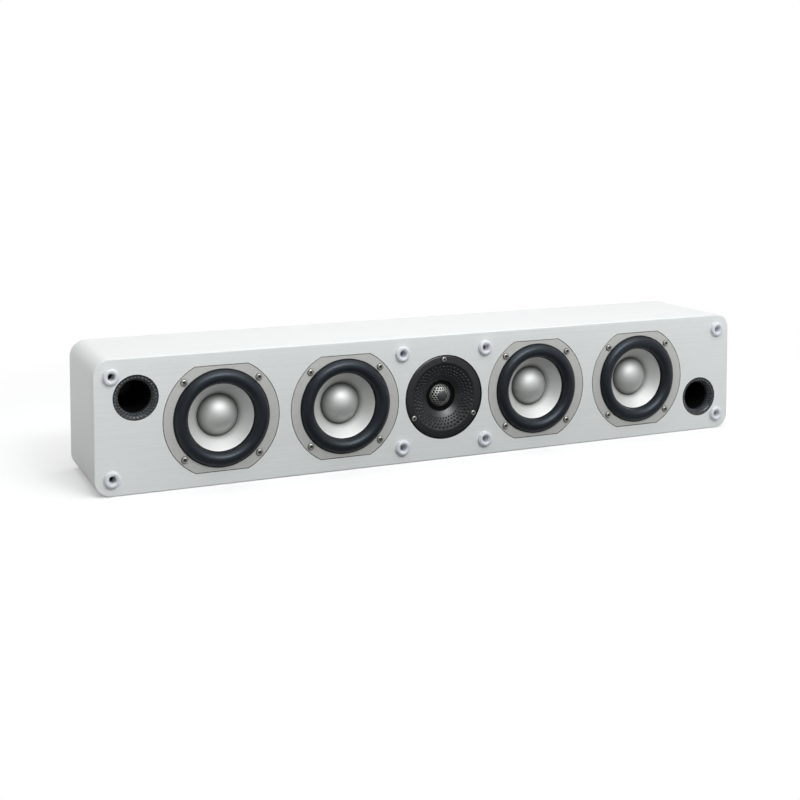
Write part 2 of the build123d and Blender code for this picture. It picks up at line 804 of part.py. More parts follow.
# Binding posts: collar on the floor of the cup, stud with a plug bore, nut behind the floor
post_length = post_collar_height + knob_length + knob_gap + post_tip
with BuildPart() as terminal_posts:
    with BuildSketch(facing_rear(inset=cup_depth)):
        with GridLocations(post_spacing, 0, 2, 1):
            Circle(post_radius)
    extrude(amount=post_length)
    with BuildSketch(facing_rear(inset=cup_depth)):
        with GridLocations(post_spacing, 0, 2, 1):
            Circle(post_collar_radius)
    extrude(amount=post_collar_height)
    with BuildSketch(facing_rear(inset=cup_depth)):
        with GridLocations(post_spacing, 0, 2, 1):
            Circle(post_radius)
    extrude(amount=-(cup_wall + post_nut_height))
    with BuildSketch(facing_rear(inset=cup_back)):
        with GridLocations(post_spacing, 0, 2, 1):
            RegularPolygon(post_collar_radius, 6)
    extrude(amount=-post_nut_height)
    with BuildSketch(facing_rear(inset=cup_depth - post_length)):
        with GridLocations(post_spacing, 0, 2, 1):
            Circle(post_bore_radius)
    extrude(amount=-post_bore_depth, mode=Mode.SUBTRACT)
write(terminal_posts, "terminal_posts")

for name, side in {"positive": -1, "negative": 1}.items():
    with BuildPart() as knob:
        knob_inset = cup_depth - post_collar_height - knob_gap
        with BuildSketch(facing_rear(side * post_spacing / 2, knob_inset)):
            Circle(knob_radius)
            with PolarLocations(knob_radius, knob_flutes):
                Circle(knob_flute_radius, mode=Mode.SUBTRACT)
            Circle(post_radius + knob_gap, mode=Mode.SUBTRACT)
        extrude(amount=knob_length)
    write(knob, f"terminal_knob_{name}")

# Crossover: a board on the bosses of the cup, with its coils and capacitors
board_inset = cup_back + boss_height
parts_inset = board_inset + board_thickness
with BuildPart() as crossover_board:
    with BuildSketch(facing_rear(inset=board_inset)):
        Rectangle(board_length, board_height)
    extrude(amount=-board_thickness)
write(crossover_board, "crossover_board")

with BuildPart() as crossover_parts:
    with BuildSketch(facing_rear(inset=parts_inset)):
        with GridLocations(choke_spacing, 0, 2, 1):
            Circle(choke_radius)
            Circle(choke_bore_radius, mode=Mode.SUBTRACT)
    extrude(amount=-choke_height)
    with BuildSketch(facing_rear(inset=parts_inset)):
        with GridLocations(0, capacitor_spacing, 1, 2):
            Circle(capacitor_radius)
    extrude(amount=-capacitor_height)
write(crossover_parts, "crossover_parts")
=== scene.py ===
import json
import math

import bmesh
import bpy
import numpy as np
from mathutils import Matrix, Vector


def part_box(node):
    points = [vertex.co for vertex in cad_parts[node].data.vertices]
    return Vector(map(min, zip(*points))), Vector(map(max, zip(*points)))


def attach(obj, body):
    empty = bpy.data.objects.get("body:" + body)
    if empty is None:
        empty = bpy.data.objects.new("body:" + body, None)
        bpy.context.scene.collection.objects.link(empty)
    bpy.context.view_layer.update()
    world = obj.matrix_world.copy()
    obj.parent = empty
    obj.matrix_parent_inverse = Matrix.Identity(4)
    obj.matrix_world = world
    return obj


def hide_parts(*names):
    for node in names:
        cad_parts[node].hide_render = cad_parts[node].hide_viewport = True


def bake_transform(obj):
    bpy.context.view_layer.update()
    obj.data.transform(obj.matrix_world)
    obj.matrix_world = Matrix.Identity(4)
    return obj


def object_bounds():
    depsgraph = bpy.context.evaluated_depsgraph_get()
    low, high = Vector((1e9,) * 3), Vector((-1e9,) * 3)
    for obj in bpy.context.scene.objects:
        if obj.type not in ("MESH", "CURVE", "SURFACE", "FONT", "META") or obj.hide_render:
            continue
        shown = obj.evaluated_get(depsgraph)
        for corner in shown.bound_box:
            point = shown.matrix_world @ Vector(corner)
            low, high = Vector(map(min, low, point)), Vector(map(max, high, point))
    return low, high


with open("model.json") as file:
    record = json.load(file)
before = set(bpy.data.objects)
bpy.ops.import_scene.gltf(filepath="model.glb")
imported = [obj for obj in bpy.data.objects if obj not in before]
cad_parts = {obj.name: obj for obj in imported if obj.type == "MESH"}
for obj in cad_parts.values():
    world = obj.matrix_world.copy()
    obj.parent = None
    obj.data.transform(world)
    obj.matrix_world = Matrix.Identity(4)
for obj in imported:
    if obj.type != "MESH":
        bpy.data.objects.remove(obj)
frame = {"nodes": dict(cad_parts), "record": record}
cadLow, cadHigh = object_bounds()
nodes = frame["nodes"]
record = frame["record"]
bodyOf = {node: body for body, members in record["behaviour"]["bodies"].items() for node in members}
slotOf = {row["node"]: row["material_slot"] for row in record["subparts"]}
mm = 0.001
fullTurn = 2 * math.pi
tiny = 1e-9  # keeps a division by a length of nothing harmless
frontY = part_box("front_baffle")[0].y
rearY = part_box("cabinet_wrap")[1].y
print("frame loaded with", len(nodes), "nodes")


def linear(hexColour):
    # sRGB hex to linear light: a straight part near black, a 2.4 power above it
    c = np.array([int(hexColour[i : i + 2], 16) for i in (1, 3, 5)]) / 255
    c = np.where(c <= 0.04045, c / 12.92, ((c + 0.055) / 1.055) ** 2.4)
    return (*c.tolist(), 1.0)


def addNode(tree, kind, inputs=None, ramp=None, **settings):
    # A shader node with its settings, its inputs given as values or links, and its colour stops
    node = tree.nodes.new("ShaderNode" + kind)
    for key, value in settings.items():
        setattr(node, key, value)
    for key, value in (inputs or {}).items():
        if isinstance(value, bpy.types.NodeSocket):
            tree.links.new(value, node.inputs[key])
        else:
            node.inputs[key].default_value = value
    if ramp:
        stops = node.color_ramp.elements
        while len(stops) < len(ramp):
            stops.new(0.5)
        for stop, (place, colour) in zip(stops, ramp):
            stop.position = place
            stop.color = colour
    return node


def newMaterial(name, **sockets):
    # An empty finish: one principled shader with its constant sockets set
    material = bpy.data.materials.new(name)
    material.use_nodes = True
    shader = material.node_tree.nodes["Principled BSDF"]
    for key, value in sockets.items():
        shader.inputs[key.replace("_", " ")].default_value = value
    return material, material.node_tree, shader


# Materials

veneerLook = {
    "pale": "#e5e7e6", "mid": "#e3e5e4", "line": "#e0e2e1", "pore": "#dddfde",
    "lineGap": 2.2, "lineLength": 170.0,  # growth lines, mm across and along the grain
    "poreGap": 0.9, "poreLength": 11.0,  # real pores are 0.3 mm wide, drawn coarser so that they show
    "lineStops": (0.30, 0.46, 0.62), "poreStops": (0.60, 0.72),  # levels of the noise between tones
    "roughness": (0.46, 0.43), "relief": 0.02, "reliefShare": 0.5,
}


def whiteStainedAsh():
    # Open-grain ash veneer, stained white and lacquered satin: pale lines and fine pores along the grain
    look = veneerLook
    material, tree, shader = newMaterial("whiteStainedAsh", Specular_IOR_Level=0.4)
    grain = addNode(tree, "UVMap", uv_map="grain").outputs[0]
    lineScale = (1 / (look["lineLength"] * mm), 1 / (look["lineGap"] * mm), 1)
    lineAt = addNode(tree, "Mapping", {"Vector": grain, "Scale": lineScale}).outputs[0]
    wave = {"Vector": lineAt, "Scale": 1.0, "Detail": 4.0, "Roughness": 0.62, "Distortion": 0.4}
    lines = addNode(tree, "TexNoise", wave).outputs["Fac"]
    poreScale = (1 / (look["poreLength"] * mm), 1 / (look["poreGap"] * mm), 1)
    poreAt = addNode(tree, "Mapping", {"Vector": grain, "Scale": poreScale}).outputs[0]
    fleck = {"Vector": poreAt, "Scale": 1.0, "Detail": 2.0, "Roughness": 0.5}
    pores = addNode(tree, "TexNoise", fleck).outputs["Fac"]
    tones = [linear(look[tone]) for tone in ("line", "mid", "pale")]
    ramp = list(zip(look["lineStops"], tones))
    lineTone = addNode(tree, "ValToRGB", {"Fac": lines}, ramp=ramp).outputs[0]
    start, end = look["poreStops"]
    inPore = addNode(tree, "MapRange", {"Value": pores, "From Min": start, "From Max": end}).outputs[0]
    mix = {"Fac": inPore, "Color1": lineTone, "Color2": linear(look["pore"])}
    tone = addNode(tree, "MixRGB", mix)
    tree.links.new(tone.outputs[0], shader.inputs["Base Color"])
    start, end = look["roughness"]
    gloss = addNode(tree, "MapRange", {"Value": lines, "To Min": start, "To Max": end})
    tree.links.new(gloss.outputs[0], shader.inputs["Roughness"])
    sunk = {"Height": inPore, "Strength": look["reliefShare"], "Distance": look["relief"] * mm}
    pits = addNode(tree, "Bump", sunk, invert=True)
    tree.links.new(pits.outputs[0], shader.inputs["Normal"])
    return material


speckLook = {
    "detail": 3.0, "roughness": 0.6, "toneStops": (0.32, 0.68),  # the noise, and its level at each tone
    "pitRoughness": 0.85, "reliefShare": 0.6,
}


def mottled(name, dark, light, size, roughness, stretch=(1, 1, 1), relief=0.0, pits=None, **sockets):
    # A finish with a fine noise in tone, gloss and height: size is the width of one speck in mm.
    # Pits is a tone painted where the attribute pit marks, as painted shade, and in the sockets as painted
    # light.
    look = speckLook
    material, tree, shader = newMaterial(name, **sockets)
    place = addNode(tree, "TexCoord").outputs["Object"]
    scale = tuple(s / (size * mm) for s in stretch)
    at = addNode(tree, "Mapping", {"Vector": place, "Scale": scale}).outputs[0]
    noise = {"Vector": at, "Scale": 1.0, "Detail": look["detail"], "Roughness": look["roughness"]}
    specks = addNode(tree, "TexNoise", noise).outputs["Fac"]
    ramp = list(zip(look["toneStops"], (linear(dark), linear(light))))
    tone = addNode(tree, "ValToRGB", {"Fac": specks}, ramp=ramp).outputs[0]
    start, end = roughness
    gloss = addNode(tree, "MapRange", {"Value": specks, "To Min": start, "To Max": end}).outputs[0]
    if pits:
        pit = addNode(tree, "Attribute", attribute_name="pit").outputs["Fac"]
        tone = addNode(tree, "MixRGB", {"Fac": pit, "Color1": tone, "Color2": linear(pits)}).outputs[0]
        dulled = {"Value": pit, "To Min": gloss, "To Max": look["pitRoughness"]}
        gloss = addNode(tree, "MapRange", dulled).outputs[0]
    tree.links.new(tone, shader.inputs["Base Color"])
    tree.links.new(gloss, shader.inputs["Roughness"])
    if relief:
        grit = {"Height": specks, "Strength": look["reliefShare"], "Distance": relief * mm}
        tree.links.new(addNode(tree, "Bump", grit).outputs[0], shader.inputs["Normal"])
    return material


finishes = {
    "stained_veneer": whiteStainedAsh(),
    # Raw medium density fibreboard: brown felted fibres
    "fibreboard": mottled("rawFibreboard", "#8a6a48", "#a5835c", 1.2, (0.8, 0.95)),
    # Stamped steel under satin silver paint: flat pale grey with faint sideways streaks
    "basket_steel": mottled(
        "silverPaintedSteel", "#cbcac6", "#d4d3cf", 0.9, (0.42, 0.52), stretch=(0.12, 1, 1), Metallic=0.35,
    ),
    # Moulded butyl rubber: blue-black, soft sheen
    "surround_rubber": mottled(
        "butylRubber", "#0a0e12", "#10151a", 0.4, (0.38, 0.44), relief=0.01, Specular_IOR_Level=0.65,
        Specular_Tint=linear("#e6f1ff"),
    ),
    # Spun aluminium, satin anodised: pale grey that rolls softly from light to dark, with a ring of painted
    # shade round the dust cap
    "cone_aluminium": mottled(
        "satinAluminium", "#e6e6e4", "#ededeb", 0.5, (0.60, 0.68), pits="#b8b8b6", Metallic=0.75,
    ),
    # Cloth dipped in resin: tan weave
    "suspension_cloth": mottled("resinCloth", "#a88a4e", "#c8a865", 0.6, (0.7, 0.85)),
    # Copper wire under clear enamel: reddish sheen in turns
    "coil_copper": mottled(
        "enamelCopper", "#9c5a34", "#b8754a", 0.3, (0.3, 0.45), stretch=(0.2, 1, 0.2), Metallic=0.8,
    ),
    # Turned mild steel, zinc plated: plain grey
    "motor_steel": mottled("zincPlatedSteel", "#77797b", "#8c8e90", 0.8, (0.35, 0.5), Metallic=0.9),
    # Fired ferrite: near-black, grainy
    "ferrite": mottled("firedFerrite", "#242526", "#303133", 0.7, (0.6, 0.8)),
    # Moulded ABS with a fine satin skin: black with a grey sheen, and dark dots of painted shade where it
    # is dimpled
    "black_plastic": mottled(
        "satinAbs", "#0a0d10", "#11151a", 0.5, (0.33, 0.39), pits="#020203", IOR=1.53,
        Specular_IOR_Level=0.75,
    ),
    # Pierced stainless sheet: bright grey
    "guard_steel": mottled("piercedStainless", "#cccbc5", "#d8d7d1", 0.3, (0.32, 0.40), Metallic=1.0),
    # Moulded white nylon: smooth, faintly blue, with painted light making the sockets' bores paler
    "white_plastic": mottled("whiteNylon", "#dadbe0", "#e1e2e7", 0.8, (0.32, 0.42), pits="#e8e8ee"),
    # Zinc-plated screw steel: dull grey, with painted shade in the cross of its head and round its seat
    "screw_steel": mottled(
        "dullScrewSteel", "#b4b2ad", "#c6c4bf", 0.3, (0.30, 0.38), pits="#1e1e1d", Metallic=0.8,
    ),
    # Gold-plated brass: warm and bright
    "post_brass": mottled("goldPlatedBrass", "#c39a4b", "#d8b465", 0.3, (0.2, 0.3), Metallic=1.0),
    # Clear-red moulded acrylic: deep red with a gloss
    "red_plastic": mottled("redAcrylic", "#8e1414", "#a51a1a", 0.8, (0.2, 0.3)),
    # Black moulded acrylic: black with a gloss
    "black_gloss_plastic": mottled("blackAcrylic", "#0d0d0e", "#151516", 0.8, (0.2, 0.3)),
    # Glass-filled laminate: green, faint weave
    "board_laminate": mottled("greenLaminate", "#2c5a38", "#376b45", 0.5, (0.4, 0.5)),
}
# Fibreboard laid bare by the router, its tone darkened as painted shade: the thin line round each flange
grooveShade = mottled("grooveShadeFibreboard", "#2b2927", "#363331", 1.2, (0.7, 0.85))
# Aluminium anodised grey: the dust caps, bright on top and darkened by painted shade where they meet the
# cone
greyAnodised = mottled(
    "greyAnodised", "#e2e2e0", "#e8e8e6", 0.5, (0.58, 0.64), pits="#5c5c5a", Metallic=1.0,
)
# Textured black ABS: the port mouths, charcoal with a glint on each dimple and painted shade in its hollow
texturedAbs = mottled(
    "texturedAbs", "#2c3034", "#42474c", 0.9, (0.18, 0.25), pits="#020203", IOR=1.53,
    Specular_IOR_Level=0.9,
)
# Aluminium dome and its edge, toned near black as painted shade behind the holes of the guard
domeShade = mottled("domeShade", "#0c0d0f", "#141618", 0.4, (0.40, 0.50))
# Stamped steel, darkened: the solid middle of the guard
stampedDisc = mottled("stampedDisc", "#57585a", "#68696b", 0.4, (0.36, 0.46), Metallic=0.9)
# Moulded ABS made black and dull as painted shade, so that the port tubes and the tweeter's throat look
# deep
shadedAbs = mottled("shadedAbs", "#050506", "#09090a", 0.9, (0.75, 0.85), Specular_IOR_Level=0.15)
shadowedNodes = ("tweeter_dome", "tweeter_suspension")
for node, thing in nodes.items():
    thing.data.materials.clear()
    thing.data.materials.append(domeShade if node in shadowedNodes else finishes[slotOf[node]])
print("materials made:", len(finishes))


# Ways of making surfaces


def putMesh(name, points, *faceGroups):
    # Points and arrays of faces into a mesh, turned to face outwards by the sign of its volume
    points = np.asarray(points, float)
    volume = sum(
        np.einsum("ij,ij->", points[f[:, 0]], np.cross(points[f[:, i]], points[f[:, i + 1]]))
        for f in faceGroups for i in range(1, f.shape[1] - 1)
    )
    if volume < 0:
        faceGroups = [f[:, ::-1] for f in faceGroups]
    sizes = np.concatenate([np.full(len(f), f.shape[1]) for f in faceGroups])
    starts = np.concatenate([[0], np.cumsum(sizes)[:-1]])
    corners = np.concatenate([f.ravel() for f in faceGroups])
    mesh = bpy.data.meshes.new(name)
    mesh.vertices.add(len(points))
    mesh.vertices.foreach_set("co", points.astype(np.float32).ravel())
    mesh.loops.add(len(corners))
    mesh.loops.foreach_set("vertex_index", corners.astype(np.int32))
    mesh.polygons.add(len(sizes))
    mesh.polygons.foreach_set("loop_start", starts.astype(np.int32))
    mesh.update(calc_edges=True)
    return mesh


def readPoints(mesh):
    # All points of a mesh, one in each row
    points = np.empty(len(mesh.vertices) * 3)
    mesh.vertices.foreach_get("co", points)
    return points.reshape(-1, 3)


def writePoints(mesh, points):
    # Moves the points of a mesh to new places
    mesh.vertices.foreach_set("co", points.astype(np.float32).ravel())
    mesh.update()


def fromAxis(mesh, place):
    # How far each point lies from the axis along Y at a place (x, z)
    points = readPoints(mesh)
    return np.hypot(points[:, 0] - place[0], points[:, 2] - place[1])


def anglesRound(columns):
    # The angle of each column of a turned piece, evenly round the circle
    return np.arange(columns) * fullTurn / columns


def gridFaces(rows, columns, wrapRows=False):
    # Quads of a grid numbered row by row, whose last column meets the first
    r, c = np.meshgrid(np.arange(rows if wrapRows else rows - 1), np.arange(columns), indexing="ij")
    c2 = (c + 1) % columns
    here = r * columns
    after = (r + 1) % rows * columns
    return np.stack([here + c, here + c2, after + c2, after + c], -1).reshape(-1, 4)


def turnedMesh(name, profile, places, columns, relief=None, facing=-1, startY=frontY):
    # A profile of (radius, depth) in mm carried round an axis along Y at each place (x, z) in metres:
    # x + r cos t, startY - facing * depth, z + r sin t. Relief in mm moves it along the profile's normal.
    profile = np.asarray(profile, float)
    poles = profile[0, 0] < tiny
    ring = profile[1:-1] if poles else profile
    t = anglesRound(columns)
    radius, depth = ring[:, :1], ring[:, 1:]
    if relief is not None:
        along = np.roll(ring, -1, 0) - np.roll(ring, 1, 0)
        along /= np.maximum(np.linalg.norm(along, axis=1, keepdims=True), tiny)
        radius, depth = radius + relief * along[:, 1:], depth - relief * along[:, :1]
    x, y, z = np.broadcast_arrays(radius * np.cos(t), depth, radius * np.sin(t))
    one = np.stack([x, y * -facing, z], -1).reshape(-1, 3)
    groups = [gridFaces(len(ring), columns, wrapRows=not poles)]
    if poles:
        one = np.concatenate([one, [(0, end * -facing, 0) for end in profile[[0, -1], 1]]])
        c = np.arange(columns)
        c2 = (c + 1) % columns
        last = (len(ring) - 1) * columns
        top = np.full(columns, len(one) - 2)
        firstFan = np.stack([top, c2, c], -1)
        lastFan = np.stack([top + 1, last + c, last + c2], -1)
        groups.append(np.concatenate([firstFan, lastFan]))
    origins = np.array([(px, startY, pz) for px, pz in places])
    points = (origins[:, None] + one[None] * mm).reshape(-1, 3)
    steps = np.arange(len(places))[:, None, None] * len(one)
    groups = [(steps + f[None]).reshape(-1, f.shape[1]) for f in groups]
    return putMesh(name, points, *groups)


def easedLine(corners, eases, steps=5):
    # Straight runs through (radius, depth) corners, each inner one eased by a parabola from that far off
    corners = np.asarray(corners, float)
    t = np.linspace(0, 1, steps)[:, None]
    runs = [corners[:1]]
    for before, corner, after, ease in zip(corners, corners[1:], corners[2:], eases):
        a = corner + (before - corner) * ease / max(np.linalg.norm(before - corner), tiny)
        b = corner + (after - corner) * ease / max(np.linalg.norm(after - corner), tiny)
        bend = (1 - t) ** 2 * a + 2 * t * (1 - t) * corner + t**2 * b
        runs.append(bend if ease else corner[None])
    return np.concatenate([*runs, corners[-1:]])


def arcThrough(a, b, c, steps):
    # Arc from a through b to c: the circle's centre is where the chords' middle lines meet
    a, b, c = (np.asarray(p, float) for p in (a, b, c))
    chords = 2 * np.array([b - a, c - a])
    centre = np.linalg.solve(chords, [b @ b - a @ a, c @ c - a @ a])
    angles = np.unwrap([math.atan2(*(p - centre)[::-1]) for p in (a, b, c)])
    sweep = np.linspace(angles[0], angles[2], steps)
    radius = np.linalg.norm(a - centre)
    return centre + radius * np.stack([np.cos(sweep), np.sin(sweep)], -1), centre, radius


def wayAlong(run):
    # How far along its run each point lies: the sum of the steps before it
    steps = np.linalg.norm(np.diff(run, axis=0), axis=1)
    return np.concatenate([[0], np.cumsum(steps)])


def filled(run, gap):
    # A run of points with more put in, so that none is further than gap from the next
    at = wayAlong(run)
    counts = np.maximum(np.ceil(np.diff(at) / gap), 1).astype(int)
    parts = [np.linspace(s, e, n, endpoint=False) for s, e, n in zip(at, at[1:], counts)]
    way = np.concatenate([*parts, at[-1:]])
    return np.stack([np.interp(way, at, run[:, 0]), np.interp(way, at, run[:, 1])], -1)


def ballRadius(radius, height):
    # Radius of the ball whose cap has this rim and height: their squares' sum over twice the height
    return (radius**2 + height**2) / (2 * height)


def furrow(angle, count, narrow):
    # Furrows evenly round the circle, 1 along the middle of each: one less the cosine's fall times narrow
    return np.clip(1 - narrow * (1 - np.cos(angle * count)), 0, 1)


def axisOf(node):
    # Where a turned piece's axis stands: the middle of its box in x and z
    low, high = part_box(node)
    return (low.x + high.x) / 2, (low.z + high.z) / 2


def addPiece(mesh, slot, body, replaced=(), smoothAngle=32.0, finish=None):
    # Puts a finished mesh in the scene with its finish, its body and the CAD nodes that it stands for
    mesh.shade_smooth()
    mesh.set_sharp_from_angle(angle=math.radians(smoothAngle))
    piece = bpy.data.objects.new(mesh.name, mesh)
    bpy.context.scene.collection.objects.link(piece)
    piece.data.materials.append(finish or finishes[slot])
    if body:
        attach(piece, body)
    if replaced:
        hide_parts(*replaced)
    return piece


def paintFaces(piece, finish, chosen):
    # Gives the chosen faces of a piece a second finish
    piece.data.materials.append(finish)
    piece.data.polygons.foreach_set("material_index", chosen.astype(np.int32))


def addPits(mesh, amount):
    # Point attribute pit, marking painted shade and the sockets' painted light: 1 at full strength, 0 where
    # plain
    pit = mesh.attributes.new("pit", "FLOAT", "POINT")
    pit.data.foreach_set("value", np.ascontiguousarray(amount, np.float32).ravel())


def pitField(row, rowGap, angle, radius, look):
    # Staggered rows of round pits: how deep each point lies, as a half ball's depth from 0 to 1. Row counts
    # the rows, rowGap is their distance in mm, and a pit's radius is a share of the way to the next one.
    nearest = np.round(row)
    cell = angle * look["dimples"] / fullTurn + 0.5 * (nearest % 2)
    step = fullTurn / look["dimples"] * radius
    away = np.hypot((cell - np.round(cell)) * step, (row - nearest) * rowGap)
    return np.sqrt(np.clip(1 - (away / (look["dimpleShare"] * step)) ** 2, 0, 1))


def mergeDoubles(mesh, gap, turnOut=False):
    # Joins points within gap, in mm, of each other, and if asked makes all faces point the same way
    skin = bmesh.new()
    skin.from_mesh(mesh)
    bmesh.ops.remove_doubles(skin, verts=skin.verts, dist=gap * mm)
    if turnOut:
        bmesh.ops.recalc_face_normals(skin, faces=skin.faces)
    skin.to_mesh(mesh)
    skin.free()


def mergedCopy(node, name):
    # A CAD solid's triangles joined into one skin, so that its round faces shade smoothly
    mesh = nodes[node].data.copy()
    mesh.name = name
    if "custom_normal" in mesh.attributes:
        mesh.attributes.remove(mesh.attributes["custom_normal"])
    mergeDoubles(mesh, 0.002)
    mesh.materials.clear()
    return mesh


# Cabinet

cabinet = {
    "cornerRadius": 17.5,
    "skin": 0.1, "skinBorder": 5.0,  # what lies deeper, this far inside the outline, is routed
    "rearShift": 0.31, "bottomShift": 3.0, "faceShift": 1.0,  # metres, so that no two sheets look alike
    "levelFrom": 0.99, "flatFrom": 0.7,  # how far a normal leans towards z or y on those faces
}


def layGrain(mesh, look):
    # Grain map in metres: along x on front and rear, and round the rounded outline on the sides, where
    # the way round is x on top, then radius times the angle turned, then the drop down the end
    halfLength, halfHeight = cadHigh.x, (cadHigh.z - cadLow.z) / 2
    corner = look["cornerRadius"] * mm
    index = np.empty(len(mesh.loops), np.int32)
    mesh.loops.foreach_get("vertex_index", index)
    normals = np.empty(len(mesh.polygons) * 3)
    mesh.polygons.foreach_get("normal", normals)
    sizes = np.empty(len(mesh.polygons), np.int32)
    mesh.polygons.foreach_get("loop_total", sizes)
    normals = np.repeat(normals.reshape(-1, 3), sizes, axis=0)
    x, y, z = readPoints(mesh)[index].T
    z = z - halfHeight
    midX = np.clip(x, corner - halfLength, halfLength - corner)
    midZ = np.clip(z, corner - halfHeight, halfHeight - corner)
    turn = np.arctan2(np.abs(x - midX), z - midZ)
    wayRound = np.sign(x) * (np.abs(midX) + corner * turn + halfHeight - corner - midZ)
    level = np.abs(normals[:, 2]) > look["levelFrom"]
    along = np.where(level, x + look["bottomShift"] * (normals[:, 2] < 0), wayRound)
    flat = np.abs(normals[:, 1]) > look["flatFrom"]
    u = np.where(flat, x + look["rearShift"] * (normals[:, 1] > 0), along)
    v = np.where(flat, z + look["faceShift"], y)
    grain = mesh.uv_layers.new(name="grain")
    grain.data.foreach_set("uv", np.stack([u, v], -1).astype(np.float32).ravel())


def routedFaces(mesh, look):
    # Faces cut below the front skin: their middle lies deeper than it and inside the outline's border
    middles = np.empty(len(mesh.polygons) * 3)
    mesh.polygons.foreach_get("center", middles)
    x, y, z = middles.reshape(-1, 3).T
    corner = look["cornerRadius"] * mm
    midX = np.clip(x, cadLow.x + corner, cadHigh.x - corner)
    midZ = np.clip(z, cadLow.z + corner, cadHigh.z - corner)
    inside = np.hypot(x - midX, z - midZ) < corner - look["skinBorder"] * mm
    return inside & (y > frontY + look["skin"] * mm)


panels = {"front_baffle": "veneerFront", "cabinet_wrap": "veneerWrap", "rear_panel": "veneerRear"}
for node, name in panels.items():
    panel = mergedCopy(node, name)
    layGrain(panel, cabinet)
    piece = addPiece(panel, slotOf[node], bodyOf[node], [node])
    if node == "front_baffle":
        paintFaces(piece, grooveShade, routedFaces(panel, cabinet))
print("cabinet panels veneered")


# Woofers

woofer = {
    "columns": 168, "rowGap": 1.5,
    "seatDepth": 1.2, "outerLip": 2.0, "rubber": 1.0, "crest": 6.2,  # surround
    "frontSteps": 64, "backSteps": 48,
    "coneRadius": 36.0, "coneRim": 2.4, "coneDepth": 3.5, "coneAngle": 48.0, "coneNeck": 13.0,
    "coneSheet": 0.6, "rimEase": 1.2,
    "capRadius": 23.0, "capHeight": 13.0, "capSheet": 0.5, "capGap": 0.1, "capSteps": 40,
    "spiderCollar": 15.4, "spiderLip": 33.5,
    "shadeIn": 13.0, "shadeOut": 5.0, "shadePower": 1.7,  # painted shade, to either side of the joint
}


def surroundProfile(look, outerRadius):
    # Half roll between two flat lips: a back line of lip, arc, lip, and the same moved forward by the
    # rubber. Each lip meets the larger arc at the root of its radius squared less the height squared.
    inner = look["coneRadius"] + look["coneRim"]
    outer = outerRadius - look["outerLip"]
    rubber, seat, edge = look["rubber"], look["seatDepth"], look["coneDepth"]
    crest = ((outer + inner) / 2, rubber - look["crest"])
    back, centre, radius = arcThrough((outer, seat), crest, (inner, edge), look["backSteps"])
    big = radius + rubber
    outDepth, inDepth = seat - rubber, edge - rubber
    start = (centre[0] + math.sqrt(big**2 - (outDepth - centre[1]) ** 2), outDepth)
    end = (centre[0] - math.sqrt(big**2 - (inDepth - centre[1]) ** 2), inDepth)
    front, _, _ = arcThrough(start, (centre[0], centre[1] - big), end, look["frontSteps"])
    frontLine = [(outerRadius, outDepth), *front, (look["coneRadius"], inDepth)]
    backLine = [(look["coneRadius"], edge), *back[::-1], (outerRadius, seat)]
    return np.array(frontLine + backLine)


def coneProfile(look):
    # Flat rim, then a straight wall down to the neck, and the same again one sheet behind
    tilt = math.radians(look["coneAngle"])
    edge, depth, sheet, neck = look["coneRadius"], look["coneDepth"], look["coneSheet"], look["coneNeck"]
    rim = edge + look["coneRim"]
    neckDepth = depth + (edge - neck) * math.tan(tilt)
    lift = sheet / math.cos(tilt)
    front = easedLine([(rim, depth), (edge, depth), (neck, neckDepth)], [look["rimEase"]], 7)
    back = [(neck, neckDepth + lift), (edge, depth + lift), (rim, depth + sheet)]
    return np.concatenate([filled(front, look["rowGap"]), back])


def capProfile(look):
    # Part of a ball from its top to its rim, and back to the axis one sheet behind
    radius, height, sheet = look["capRadius"], look["capHeight"], look["capSheet"]
    slope = math.tan(math.radians(look["coneAngle"]))
    rim = look["coneDepth"] + (look["coneRadius"] - radius) * slope - look["capGap"]
    ball = ballRadius(radius, height)
    sweep = np.linspace(0, math.acos(1 - height / ball), look["capSteps"])
    front = np.stack([ball * np.sin(sweep), rim - height + ball * (1 - np.cos(sweep))], -1)
    inside = front[::-1] * [(radius - sheet) / radius, 1]
    inside[:, 1] = rim - (rim - inside[:, 1]) * (height - sheet) / height
    return np.concatenate([front, inside])


def rimWeights(piece, place, inner, outer):
    # Share for each point, straight from 1 at the inner edge to 0 outside; it is worked out and not kept
    share = np.clip((outer * mm - fromAxis(piece.data, place)) / ((outer - inner) * mm), 0, 1)


def ringShade(mesh, place, clear, full, power):
    # Painted shade round the joint of cap and cone: a power of the way from the clear radius to the full
    share = (fromAxis(mesh, place) - clear * mm) / ((full - clear) * mm)
    addPits(mesh, np.clip(share, 0, 1) ** power)


wooferPlaces = [node.removeprefix("woofer_cone_") for node in nodes if node.startswith("woofer_cone_")]
for place in wooferPlaces:
    look = woofer
    at = axisOf(f"woofer_cone_{place}")
    body = bodyOf[f"woofer_cone_{place}"]
    low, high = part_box(f"woofer_surround_{place}")
    outerRadius = (high.x - low.x) / 2 / mm
    joint, power = look["capRadius"], look["shadePower"]
    roll = turnedMesh(f"surround_{place}", surroundProfile(look, outerRadius), [at], look["columns"])
    roll = addPiece(roll, "surround_rubber", None, [f"woofer_surround_{place}"])
    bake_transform(roll)
    rimWeights(roll, at, look["coneRadius"] + look["coneRim"], outerRadius - look["outerLip"])
    cone = turnedMesh(f"cone_{place}", coneProfile(look), [at], look["columns"])
    ringShade(cone, at, joint + look["shadeOut"], joint, power)
    addPiece(cone, "cone_aluminium", body, [f"woofer_cone_{place}"])
    cap = turnedMesh(f"cap_{place}", capProfile(look), [at], look["columns"])
    ringShade(cap, at, joint - look["shadeIn"], joint, power)
    addPiece(cap, "cone_aluminium", body, [f"dust_cap_{place}"], finish=greyAnodised)
    rolls = mergedCopy(f"spider_{place}", f"spiderRolls_{place}")
    rolls = addPiece(rolls, "suspension_cloth", None, [f"spider_{place}"])
    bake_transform(rolls)
    rimWeights(rolls, at, look["spiderCollar"], look["spiderLip"])
print("woofers turned:", len(wooferPlaces))


# Screws

